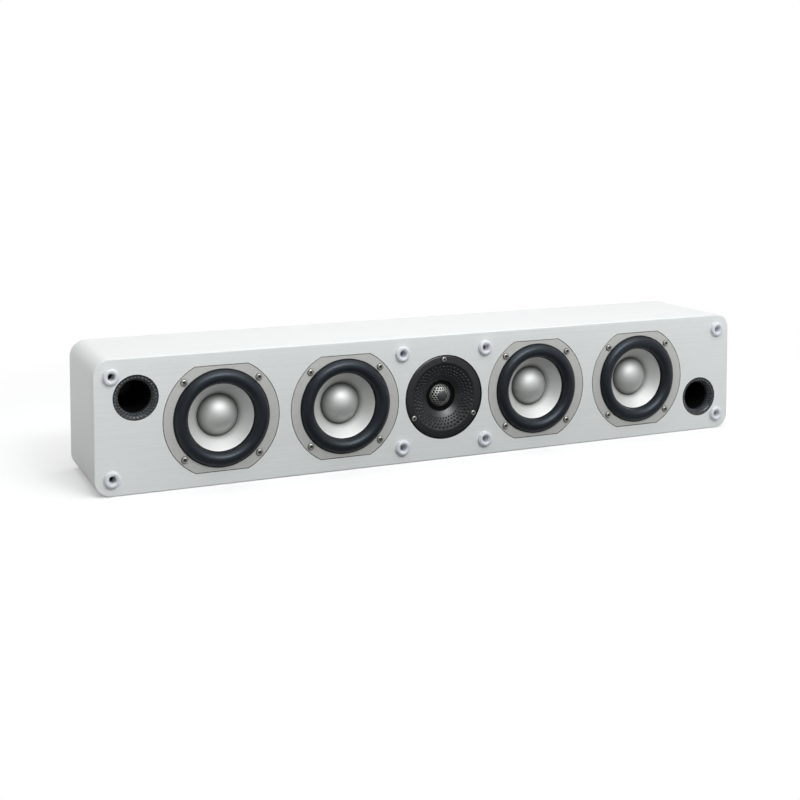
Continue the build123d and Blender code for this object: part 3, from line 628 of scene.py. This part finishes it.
screwLook = {
    "rows": 16, "columns": 48, "crown": 3.2, "tip": 1.5,
    "slotLength": 0.6, "slotWidth": 0.27, "slotDepth": 0.5,  # shares of the head's radius and height
    "slotRamp": 0.2, "slotWall": 0.08, "slotShade": 0.85,
    "seatShadeFrom": 0.8, "bite": 2.4,  # radians that each stopped further round than the one before
}


def screwMesh(name, places, size, facing=-1, startY=frontY):
    # Pan head, height times the root of one less a power of the radius, with a cross sunk in it whose
    # depth falls off along each arm; the shank is a plain cylinder below
    look = screwLook
    headRadius, headHeight, seat = size["headRadius"], size["headHeight"], size["seat"]
    shank, tip = size["shankRadius"], seat + size["shankLength"]
    r = np.linspace(0, 1, look["rows"])
    dome = seat - headHeight * np.sqrt(np.maximum(1 - r ** look["crown"], 0))
    head = np.stack([r * headRadius, dome], -1)
    profile = np.concatenate([head, [(shank, seat), (shank, tip - look["tip"]), (0, tip)]])
    ring = profile[1:-1, :1] / headRadius
    onHead = np.arange(len(ring))[:, None] < look["rows"] - 1
    t = anglesRound(look["columns"])
    px, pz = np.abs(ring * np.cos(t)), np.abs(ring * np.sin(t))
    ramp = np.clip((look["slotLength"] - np.maximum(px, pz)) / look["slotRamp"], 0, 1)
    wall = np.clip((look["slotWidth"] - np.minimum(px, pz)) / look["slotWall"], 0, 1)
    # Painted shade: the cross and the head's edge at its seat take the finish's dark pit tone
    cut = np.append(ramp * wall * onHead, [1.0, 0.0])  # last come the middle of the head and the tip
    edge = np.clip((ring - look["seatShadeFrom"]) / (1 - look["seatShadeFrom"]), 0, 1) * onHead
    seatShade = np.append(np.repeat(edge, look["columns"]), [0.0, 0.0])  # painted shade where the head meets its seat
    mesh = turnedMesh(name, profile, places, look["columns"], facing=facing, startY=startY)
    points = readPoints(mesh).reshape(len(places), -1, 3)
    points[:, :, 1] += -facing * cut * look["slotDepth"] * headHeight * mm
    turns = look["bite"] * np.arange(len(places))[:, None]
    c, s = np.cos(turns), np.sin(turns)
    midX, midZ = np.array(places).T[:, :, None]
    dx, dz = points[:, :, 0] - midX, points[:, :, 2] - midZ
    points[:, :, 0] = midX + c * dx - s * dz
    points[:, :, 2] = midZ + s * dx + c * dz
    writePoints(mesh, points)
    addPits(mesh, np.tile(np.maximum(look["slotShade"] * cut, seatShade), len(places)))
    return mesh


def ringPlaces(centre, size):
    # Places spaced evenly on a circle round a centre
    angles = math.radians(size["start"]) + anglesRound(size["count"])
    circle = size["circle"] * mm
    return [(centre[0] + circle * math.cos(a), centre[1] + circle * math.sin(a)) for a in angles]


wooferScrews = {
    "circle": 57.4, "count": 4, "start": 45,
    "headRadius": 3.9, "headHeight": 2.1, "shankRadius": 1.9, "shankLength": 15.0, "seat": 0.0,
}
wooferSpots = []
for place in wooferPlaces:
    wooferSpots += ringPlaces(axisOf(f"woofer_cone_{place}"), wooferScrews)
screws = screwMesh("flangeScrews", wooferSpots, wooferScrews)
addPiece(screws, "screw_steel", "cabinet", ["woofer_screws"])

tweeterScrews = {
    "circle": 42.7, "count": 3, "start": 90,
    "headRadius": 3.3, "headHeight": 2.4, "shankRadius": 1.6, "shankLength": 13.0, "seat": 1.2,
}
tweeterAt = axisOf("tweeter_faceplate")
tweeterSpots = ringPlaces(tweeterAt, tweeterScrews)
screws = screwMesh("faceplateScrews", tweeterSpots, tweeterScrews)
addPiece(screws, "screw_steel", "cabinet", ["tweeter_screws"])

cupScrews = {
    "reachX": 89.0, "reachZ": 73.0,
    "headRadius": 3.0, "headHeight": 1.7, "shankRadius": 1.6, "shankLength": 11.0, "seat": 0.0,
}
cupAt = axisOf("terminal_cup")
cupSpots = [
    (cupAt[0] + sx * cupScrews["reachX"] / 2 * mm, cupAt[1] + sz * cupScrews["reachZ"] / 2 * mm)
    for sx in (-1, 1) for sz in (-1, 1)
]
screws = screwMesh("cupScrews", cupSpots, cupScrews, facing=1, startY=rearY)
addPiece(screws, "screw_steel", "cabinet", ["terminal_screws"])
print("screws made")


# Tweeter

faceplate = {
    "columns": 640, "fine": 0.36, "throatGap": 1.0, "dishSteps": 72,
    "dimples": 48, "dimpleShare": 0.29, "dimpleDepth": 0.9, "rows": 3, "rowRatio": 0.895, "firstRow": 35.8,
    "rimRadius": 47.1, "rimBevel": 2.4, "backDepth": 3.0, "backRadius": 34.5,
    "dishRadius": 38.8, "dishSlope": 16.0, "dishDepth": 9.5, "wall": 1.5,
    "throatRadius": 17.5, "throatWall": 4.0, "floorDepth": 12.0, "floorRadius": 13.5,
    "throatBlend": 5, "throatEases": (1.0, 0.4),  # rows of the dish that the throat's curve takes up
    "screwPit": 3.5, "pitDepth": 1.2, "pitEdge": 0.3, "rimSkin": 0.3,
    "throatShadeMargin": 0.4,  # how far out of the throat its painted shade goes
}


def faceplateOutline(look):
    # From the rim's back edge over the flat rim and down the dish, whose depth is its slope times the
    # way in and a square term that grows to the full depth, then the throat, and apart from it the back
    rim, dishEdge, backDepth = look["rimRadius"], look["dishRadius"], look["backDepth"]
    throat, floor, depth = look["throatRadius"], look["floorRadius"], look["floorDepth"]
    fine, blend = look["fine"], look["throatBlend"]
    flat = easedLine([(rim, backDepth), (rim, 0), (dishEdge, 0)], [look["rimBevel"]])
    wayIn = np.linspace(0, dishEdge - throat, look["dishSteps"])[1:]
    slope = math.tan(math.radians(look["dishSlope"]))
    curl = (look["dishDepth"] - slope * wayIn[-1]) / wayIn[-1] ** 2
    dish = np.stack([dishEdge - wayIn, slope * wayIn + curl * wayIn**2], -1)
    corners = [dish[-blend], dish[-1], (throat, depth), (floor, depth)]
    neck = easedLine(corners, look["throatEases"], 6)
    runs = [filled(flat, fine), filled(dish[:-blend], fine), filled(neck, look["throatGap"])]
    under = depth + look["wall"]
    outside = throat + look["throatWall"]
    back = [(floor, under), (outside, under), (outside, look["dishDepth"] + look["wall"])]
    return np.concatenate(runs), np.array([*back, (look["backRadius"], backDepth)])


look = faceplate
front, back = faceplateOutline(look)
outline = np.concatenate([front, back])
angle = anglesRound(look["columns"])
radius = outline[:, :1]
onFront = np.arange(len(outline))[:, None] < len(front)
rowStep = math.log(1 / look["rowRatio"])
row = np.log(look["firstRow"] / radius) / rowStep
dimpled = onFront & (row > -0.5) & (row < look["rows"] + 0.5)
dimples = pitField(row, radius * rowStep, angle, radius, look) * dimpled
relief = look["dimpleDepth"] * dimples
px, pz = radius * np.cos(angle), radius * np.sin(angle)
onRim = (radius > look["dishRadius"]) & (outline[:, 1:] < look["rimSkin"])
for sx, sz in tweeterSpots:
    away = np.hypot(px - (sx - tweeterAt[0]) / mm, pz - (sz - tweeterAt[1]) / mm)
    sunk = np.clip((look["screwPit"] - away) / look["pitEdge"], 0, 1) * onRim
    relief = np.maximum(relief, look["pitDepth"] * sunk)
plate = turnedMesh("faceplate", outline, [tweeterAt], look["columns"], relief=relief)
# Painted shade in the dimples: their bottoms take the finish's darker pit tone
addPits(plate, dimples)
plate = addPiece(plate, "black_plastic", "cabinet", ["tweeter_faceplate"])
# Painted shade: the throat takes the dark, dull copy of the ABS
inThroat = outline[:, 0] < look["throatRadius"] + look["throatShadeMargin"]
paintFaces(plate, shadedAbs, np.repeat(inThroat, look["columns"]))

guard = {
    "radius": 13.0, "height": 7.2, "seatDepth": 11.5, "reach": 12.9, "columns": 96,
    "pitch": 3.0, "hole": 1.16, "sheet": 0.4, "sides": 12,  # corners of a hole, twice those of its cell
    "rimClear": 0.4, "discLap": 0.9, "weld": 0.02, "smoothAngle": 60,
    "lip": 14.8, "lipTop": 0.2, "lipBack": 0.5, "lipInside": 1.0, "lipRise": 0.55,
    "lipEases": (0.3, 0.2, 0),
    "bandWidth": 0.9, "bandFront": 0.3, "bandBack": 0.2, "bandSteps": 5,
    "disc": 6.0, "discRise": 0.45, "discEdge": 0.15, "discDrop": 0.2, "discBack": 0.2,
    "discSteps": 14, "discColumns": 72,
}


def guardDepth(r, look):
    # Depth of the guard's ball: its top's depth and how far the ball falls away at r from the axis
    ball = ballRadius(look["radius"], look["height"])
    return look["seatDepth"] - look["height"] + ball - np.sqrt(ball**2 - r**2)


def onDome(x, z, look):
    # Points of the plan put on the guard's ball, those beyond its reach drawn in to it
    squeeze = np.minimum(1, look["reach"] / np.maximum(np.hypot(x, z), tiny))
    x, z = x * squeeze, z * squeeze
    depth = guardDepth(np.hypot(x, z), look)
    return np.stack([tweeterAt[0] + x * mm, frontY + depth * mm, tweeterAt[1] + z * mm], -1)


def piercedDome(look):
    # Six-sided cells in staggered rows, each a band from its edge in to a round hole, laid on the ball
    pitch, hole, sides = look["pitch"], look["hole"], look["sides"]
    count = int(look["reach"] / pitch) + 2
    steps = np.arange(-count, count + 1)
    i, j = np.meshgrid(steps, steps, indexing="ij")
    cx = (pitch * (i + 0.5 * (j % 2))).ravel()
    cz = (pitch * math.sqrt(0.75) * j).ravel()
    out = np.hypot(cx, cz)
    keep = (out < look["reach"] - look["rimClear"]) & (out > look["disc"] - look["discLap"])
    cx, cz = cx[keep, None], cz[keep, None]
    a = anglesRound(sides)
    sixth = fullTurn / 6
    edge = pitch / 2 / np.cos((a + sixth / 2) % sixth - sixth / 2)
    outer = onDome(cx + edge * np.cos(a), cz + edge * np.sin(a), look)
    inner = onDome(cx + hole * np.cos(a), cz + hole * np.sin(a), look)
    points = np.concatenate([outer, inner], 1)
    k = np.arange(sides)
    k2 = (k + 1) % sides
    band = np.stack([k, k2, sides + k2, sides + k], -1)
    faces = (np.arange(len(points))[:, None, None] * 2 * sides + band[None]).reshape(-1, 4)
    return points.reshape(-1, 3), faces


look = guard
sheet = putMesh("guardSheet", *piercedDome(look))
mergeDoubles(sheet, look["weld"], turnOut=True)
sheet = addPiece(sheet, "guard_steel", "cabinet", ["tweeter_guard"], smoothAngle=look["smoothAngle"])
thicken = sheet.modifiers.new("thicken", "SOLIDIFY")
thicken.thickness = look["sheet"] * mm
thicken.offset = 0.0
inside, seat = look["reach"] - look["lipInside"], look["seatDepth"]
lipTop, lipBack = seat - look["lipTop"], seat + look["lipBack"]
corners = [(inside, seat - look["lipRise"]), (look["reach"], lipTop), (look["lip"], lipTop)]
lipLine = easedLine([*corners, (look["lip"], lipBack), (inside, lipBack)], look["lipEases"])
rim = turnedMesh("guardRim", lipLine, [tweeterAt], look["columns"])
# The guard's rim takes the same dark, dull painted shade
addPiece(rim, "black_plastic", "cabinet", finish=shadedAbs)
r = np.linspace(look["reach"] - look["bandWidth"], look["reach"], look["bandSteps"])
depth = guardDepth(r, look)
front = np.stack([r, depth - look["bandFront"]], -1)
back = np.stack([r, depth + look["bandBack"]], -1)
band = turnedMesh("guardBand", np.concatenate([front, back[::-1]]), [tweeterAt], look["columns"])
addPiece(band, "guard_steel", "cabinet")
r = np.linspace(0, look["disc"], look["discSteps"])
depth = guardDepth(r, look)
front = np.stack([r, depth - look["discRise"]], -1)
edge = look["disc"] + look["discEdge"]
side = [(edge, front[-1, 1] + look["discDrop"]), (edge, depth[-1] + look["discBack"])]
discLine = np.concatenate([front, side, [(0, depth[0] + look["discBack"])]])
disc = turnedMesh("guardDisc", discLine, [tweeterAt], look["discColumns"])
addPiece(disc, "motor_steel", "cabinet", finish=stampedDisc)
print("tweeter made")


# Ports

port = {
    "columns": 480, "fine": 0.25,
    "dimples": 36, "rowGap": 2.9, "rows": 2, "dimpleShare": 0.38, "dimpleDepth": 1.2, "shade": 0.4,
    "flareRadius": 23.0, "flareDepth": 9.0, "boreRadius": 17.0, "wall": 2.0, "leadIn": (0.6, 2.0),
    "rimDepth": 3.0, "rimEdge": 0.3, "tubeEases": (0.8, 0.8, 0, 0),
}


def portOutline(look, length):
    # Flare, a quarter of an ellipse from the rim into the bore, and then apart from it the bore and the
    # tube's outside back to the rim
    mouth, bore, rim = look["flareRadius"], look["boreRadius"], look["rimDepth"]
    outside = bore + look["wall"]
    drop = mouth - bore
    sweep = np.linspace(0, math.pi / 2, int(drop * math.pi / 2 / look["fine"]))
    flare = np.stack([mouth - drop * np.sin(sweep), look["flareDepth"] * (1 - np.cos(sweep))], -1)
    lead = [(bore, look["flareDepth"] + step) for step in look["leadIn"]]
    tube = [(bore, length / 2), (bore, length), (outside, length), (outside, rim)]
    tube = easedLine([*tube, (mouth, rim), (mouth, look["rimEdge"])], look["tubeEases"])
    return flare, np.concatenate([lead, tube])


for side in ("left", "right"):
    look = port
    node = f"port_tube_{side}"
    low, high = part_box(node)
    flare, tube = portOutline(look, (high.y - frontY) / mm)
    outline = np.concatenate([flare, tube])
    row = (wayAlong(flare) / look["rowGap"] - 0.5)[:, None]
    onFlare = pitField(row, look["rowGap"], anglesRound(look["columns"]), flare[:, :1], look)
    dimples = np.zeros((len(outline), look["columns"]))
    dimples[: len(flare)] = onFlare * (row < look["rows"] + 0.5)
    relief = look["dimpleDepth"] * dimples
    tube = turnedMesh(f"portTube_{side}", outline, [axisOf(node)], look["columns"], relief=relief)
    # Painted shade in the dimples, at a share of full strength
    addPits(tube, dimples * look["shade"])
    tube = addPiece(tube, "black_plastic", "cabinet", [node], finish=texturedAbs)
    # Painted shade: the bore takes the dark, dull copy of the ABS
    inBore = np.arange(len(outline)) >= len(flare) - 1
    paintFaces(tube, shadedAbs, np.repeat(inBore, look["columns"]))
print("ports made")


# Grille sockets

socket = {
    "columns": 96, "crownSteps": 22, "rowGap": 1.5,
    "radius": 8.5, "hole": 3.7, "height": 4.0, "shoulder": 1.4, "stem": 5.3, "stemLength": 12.0,
    "innerX": 51.6,  # the inner four, to either side of the middle
    "fingers": 4, "notch": 0.45, "slitNarrow": 4.0, "slitReach": 0.9, "slitTop": 3.4,
    "boreLightFrom": 1.4, "boreLightDepth": 2.0, "boreLightClear": 0.1,
}
look = socket
low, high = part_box("grille_sockets")
outX, inX = high.x - look["radius"] * mm, look["innerX"] * mm
highZ = high.z - look["radius"] * mm
lowZ = low.z + high.z - highZ
socketSpots = [(x, z) for x in (-outX, -inX, inX, outX) for z in (lowZ, highZ)]
radius, hole, shoulder, stem = look["radius"], look["hole"], look["shoulder"], look["stem"]
top = ((radius + hole) / 2, -look["height"])
crown, _, _ = arcThrough((radius, -shoulder), top, (hole, -shoulder), look["crownSteps"])
bore = filled(np.array([(hole, -shoulder), (hole, look["stemLength"])]), look["rowGap"])
outline = np.concatenate([[(stem, 0), (radius, 0)], crown, bore[1:], [(stem, look["stemLength"])]])
slit = furrow(anglesRound(look["columns"]), look["fingers"], look["slitNarrow"])
inHole = np.clip((hole + look["slitReach"] - outline[:, :1]) / look["slitReach"], 0, 1)
inHole = inHole * (outline[:, 1:] > -look["slitTop"])
relief = -look["notch"] * slit * inHole
rings = turnedMesh("grilleSockets", outline, socketSpots, look["columns"], relief=relief)
# Painted light: further into each bore the walls take the paler pit tone of the white nylon
deep = np.clip((outline[:, 1] + look["boreLightFrom"]) / look["boreLightDepth"], 0, 1)
deep = deep * (outline[:, 0] < stem - look["boreLightClear"])
addPits(rings, np.tile(np.repeat(deep, look["columns"]), len(socketSpots)))
addPiece(rings, "white_plastic", "cabinet", ["grille_sockets"])
print("sockets made")


# Terminals at the rear

for node, name in {"terminal_cup": "terminalCup", "terminal_posts": "bindingPosts"}.items():
    addPiece(mergedCopy(node, name), slotOf[node], bodyOf[node], [node])

knob = {
    "columns": 160, "rowGap": 1.2, "bore": 3.3, "eases": (0.3, 1.0, 0.5),
    "flutes": 8, "fluteDepth": 1.2, "fluteNarrow": 2.2, "flutePower": 0.6, "fluteEdge": 1.2,
}
for name in ("positive", "negative"):
    look = knob
    node = f"terminal_knob_{name}"
    low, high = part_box(node)
    at = axisOf(node)
    bore, outer = look["bore"], (high.x - low.x) / 2 / mm
    length = (high.y - low.y) / mm
    corners = [(bore, length), (bore, 0), (outer, 0), (outer, length), (bore, length)]
    outline = filled(easedLine(corners, look["eases"], 6)[:-1], look["rowGap"])
    radius = outline[:, :1]
    flute = furrow(anglesRound(look["columns"]), look["flutes"], look["fluteNarrow"])
    onSide = np.clip((radius - outer + look["fluteEdge"]) / look["fluteEdge"], 0, 1)
    pull = 1 - onSide * flute ** look["flutePower"] * look["fluteDepth"] / radius
    grip = turnedMesh(f"knob_{name}", outline, [at], look["columns"], facing=1, startY=high.y)
    points = readPoints(grip).reshape(len(outline), look["columns"], 3)
    points[:, :, 0] = at[0] + (points[:, :, 0] - at[0]) * pull
    points[:, :, 2] = at[1] + (points[:, :, 2] - at[1]) * pull
    writePoints(grip, points)
    addPiece(grip, slotOf[node], bodyOf[node], [node])
print("terminals made")


# Floor, light and camera

studio = {
    "floorSize": 60.0, "plain": "#ffffff", "paper": "#ffffff",
    "bounce": "#d4d4d4", "underfootShade": "#585858",  # what the floor sends back far off, and before the front as a painted shadow
    "footShift": (0, 0.75, 0), "footScale": (1.4, 3.0, 1), "footEdge": (1.0, 0.4),
    "paperBehind": (0.0, 0.6), "shadowReach": (0.45, 0.8), "glowLeast": 0.3,
    "ambient": 0.48, "room": 0.3, "roomTurn": 35.0, "roomEdge": (-0.9, -0.3),  # darker behind the camera
    "skyBehind": (-0.1, 0.5), "skyLow": (0.6, 0.25),
}


def seesBackdrop(tree, behind):
    # 1 for camera rays, and for glossy and transmission rays that go to the lit paper behind the object
    path = addNode(tree, "LightPath")
    kinds = {0: path.outputs["Is Glossy Ray"], 1: path.outputs["Is Transmission Ray"]}
    mirrored = addNode(tree, "Math", kinds, operation="MAXIMUM")
    toPaper = addNode(tree, "Math", {0: mirrored.outputs[0], 1: behind}, operation="MULTIPLY")
    kinds = {0: path.outputs["Is Camera Ray"], 1: toPaper.outputs[0]}
    return addNode(tree, "Math", kinds, operation="MAXIMUM").outputs[0]


half = studio["floorSize"] / 2
corners = [(x, y, cadLow.z) for x, y in ((-half, -half), (half, -half), (half, half), (-half, half))]
floorMesh = bpy.data.meshes.new("floor")
floorMesh.from_pydata(corners, [], [(0, 1, 2, 3)])
floor = bpy.data.objects.new("floor", floorMesh)
bpy.context.scene.collection.objects.link(floor)
# Pale paper sheet: white to the camera, with the object's soft shadow on it
paper = bpy.data.materials.new("palePaper")
paper.use_nodes = True
tree = paper.node_tree
tree.nodes.remove(tree.nodes["Principled BSDF"])
place = addNode(tree, "TexCoord").outputs["Object"]
depth = addNode(tree, "SeparateXYZ", {0: place}).outputs["Y"]
start, end = studio["paperBehind"]
behind = addNode(tree, "MapRange", {"Value": depth, "From Min": start, "From Max": end}).outputs[0]
# A painted shadow before the front, seen in reflections and bounced light, not by the camera
foot = {"Vector": place, "Location": studio["footShift"], "Scale": studio["footScale"]}
foot = addNode(tree, "Mapping", foot).outputs[0]
apart = addNode(tree, "VectorMath", {0: foot}, operation="LENGTH").outputs["Value"]
start, end = studio["footEdge"]
near = addNode(tree, "MapRange", {"Value": apart, "From Min": start, "From Max": end}).outputs[0]
tones = {"Fac": near, "Color1": linear(studio["bounce"]), "Color2": linear(studio["underfootShade"])}
bounce = addNode(tree, "MixRGB", tones).outputs[0]
dim = addNode(tree, "BsdfDiffuse", {"Color": bounce}).outputs[0]
lit = addNode(tree, "BsdfDiffuse", {"Color": linear(studio["paper"])}).outputs[0]
away = addNode(tree, "VectorMath", {0: place}, operation="LENGTH").outputs["Value"]
start, end = studio["shadowReach"]
reach = {"Value": away, "From Min": start, "From Max": end, "To Min": studio["glowLeast"], "To Max": 1.0}
fade = addNode(tree, "MapRange", reach).outputs[0]
glow = addNode(tree, "Emission", {"Color": linear(studio["plain"]), "Strength": 1.0}).outputs[0]
seen = addNode(tree, "MixShader", {0: fade, 1: lit, 2: glow}).outputs[0]
ground = addNode(tree, "MixShader", {0: seesBackdrop(tree, behind), 1: dim, 2: seen})
tree.links.new(ground.outputs[0], tree.nodes["Material Output"].inputs["Surface"])
floor.data.materials.append(paper)

world = bpy.data.worlds.new("studio")
bpy.context.scene.world = world
world.use_nodes = True
tree = world.node_tree
soft = tree.nodes["Background"]
soft.inputs["Color"].default_value = linear(studio["plain"])
backdrop = addNode(tree, "Background", {"Color": linear(studio["plain"]), "Strength": 1.0}).outputs[0]
place = addNode(tree, "TexCoord").outputs["Generated"]
heading = addNode(tree, "SeparateXYZ", {0: place})
turn = math.radians(studio["roomTurn"])
toRoom = {0: place, 1: (math.sin(turn), math.cos(turn), 0)}
toRoom = addNode(tree, "VectorMath", toRoom, operation="DOT_PRODUCT").outputs["Value"]
start, end = studio["roomEdge"]
bright = studio["ambient"]
dark = bright * studio["room"]
reach = {"Value": toRoom, "From Min": start, "From Max": end, "To Min": dark, "To Max": bright}
tree.links.new(addNode(tree, "MapRange", reach).outputs[0], soft.inputs["Strength"])
start, end = studio["skyBehind"]
reach = {"Value": heading.outputs["Y"], "From Min": start, "From Max": end}
behind = addNode(tree, "MapRange", reach).outputs[0]
start, end = studio["skyLow"]
reach = {"Value": heading.outputs["Z"], "From Min": start, "From Max": end}
lowDown = addNode(tree, "MapRange", reach).outputs[0]
behind = addNode(tree, "Math", {0: behind, 1: lowDown}, operation="MULTIPLY").outputs[0]
sky = addNode(tree, "MixShader", {0: seesBackdrop(tree, behind), 1: soft.outputs[0], 2: backdrop})
tree.links.new(sky.outputs[0], tree.nodes["World Output"].inputs["Surface"])

# Soft boxes over the front and the rear, and three in one beside the camera, brightest in the middle
lamps = {
    "overhead": {"at": (0, -0.45, 1.45), "aimZ": 0.07, "size": (2.4, 0.8), "watts": 7, "tint": "#ffffff"},
    "rear": {"at": (0, 0.4, 1.5), "aimZ": 0.14, "size": (2.0, 0.6), "watts": 5, "tint": "#ffffff"},
    "wide": {"at": (0.3, -1.7, 1.6), "aimZ": 0.07, "size": (3.6, 1.2), "watts": 6, "tint": "#f9feff"},
    "key": {"at": (0.15, -1.65, 1.55), "aimZ": 0.07, "size": (1.6, 0.9), "watts": 18, "tint": "#f9feff"},
    "core": {"at": (0.1, -1.6, 1.5), "aimZ": 0.07, "size": (0.5, 0.3), "watts": 6.5, "tint": "#f9feff"},
}
for name, lamp in lamps.items():
    data = bpy.data.lights.new(name, "AREA")
    data.shape = "RECTANGLE"
    data.size, data.size_y = lamp["size"]
    data.energy = lamp["watts"]
    data.color = linear(lamp["tint"])[:3]
    thing = bpy.data.objects.new(name, data)
    bpy.context.scene.collection.objects.link(thing)
    thing.location = lamp["at"]
    x, y, z = np.array((0, 0, lamp["aimZ"])) - lamp["at"]
    thing.rotation_euler = (math.atan2(math.hypot(x, y), -z), 0, math.atan2(-x, y))

view = {
    "at": (-0.6441, -1.3953, 0.3860), "yaw": 23.91, "pitch": 3.57, "sensor": 36.0,
    "focalPixels": 1322.3, "framePixels": 800, "eyeLine": 200,  # the shift sets the eye line
}
camera = bpy.data.cameras.new("camera")
camera.sensor_width = view["sensor"]
camera.lens = view["focalPixels"] * camera.sensor_width / view["framePixels"]
camera.shift_y = (view["eyeLine"] - view["framePixels"] / 2) / view["framePixels"]
stand = bpy.data.objects.new("camera", camera)
bpy.context.scene.collection.objects.link(stand)
stand.location = view["at"]
stand.rotation_euler = (math.radians(90 - view["pitch"]), 0, math.radians(-view["yaw"]))
bpy.context.scene.camera = stand
bpy.context.scene.view_settings.view_transform = "Standard"
print("stage set")
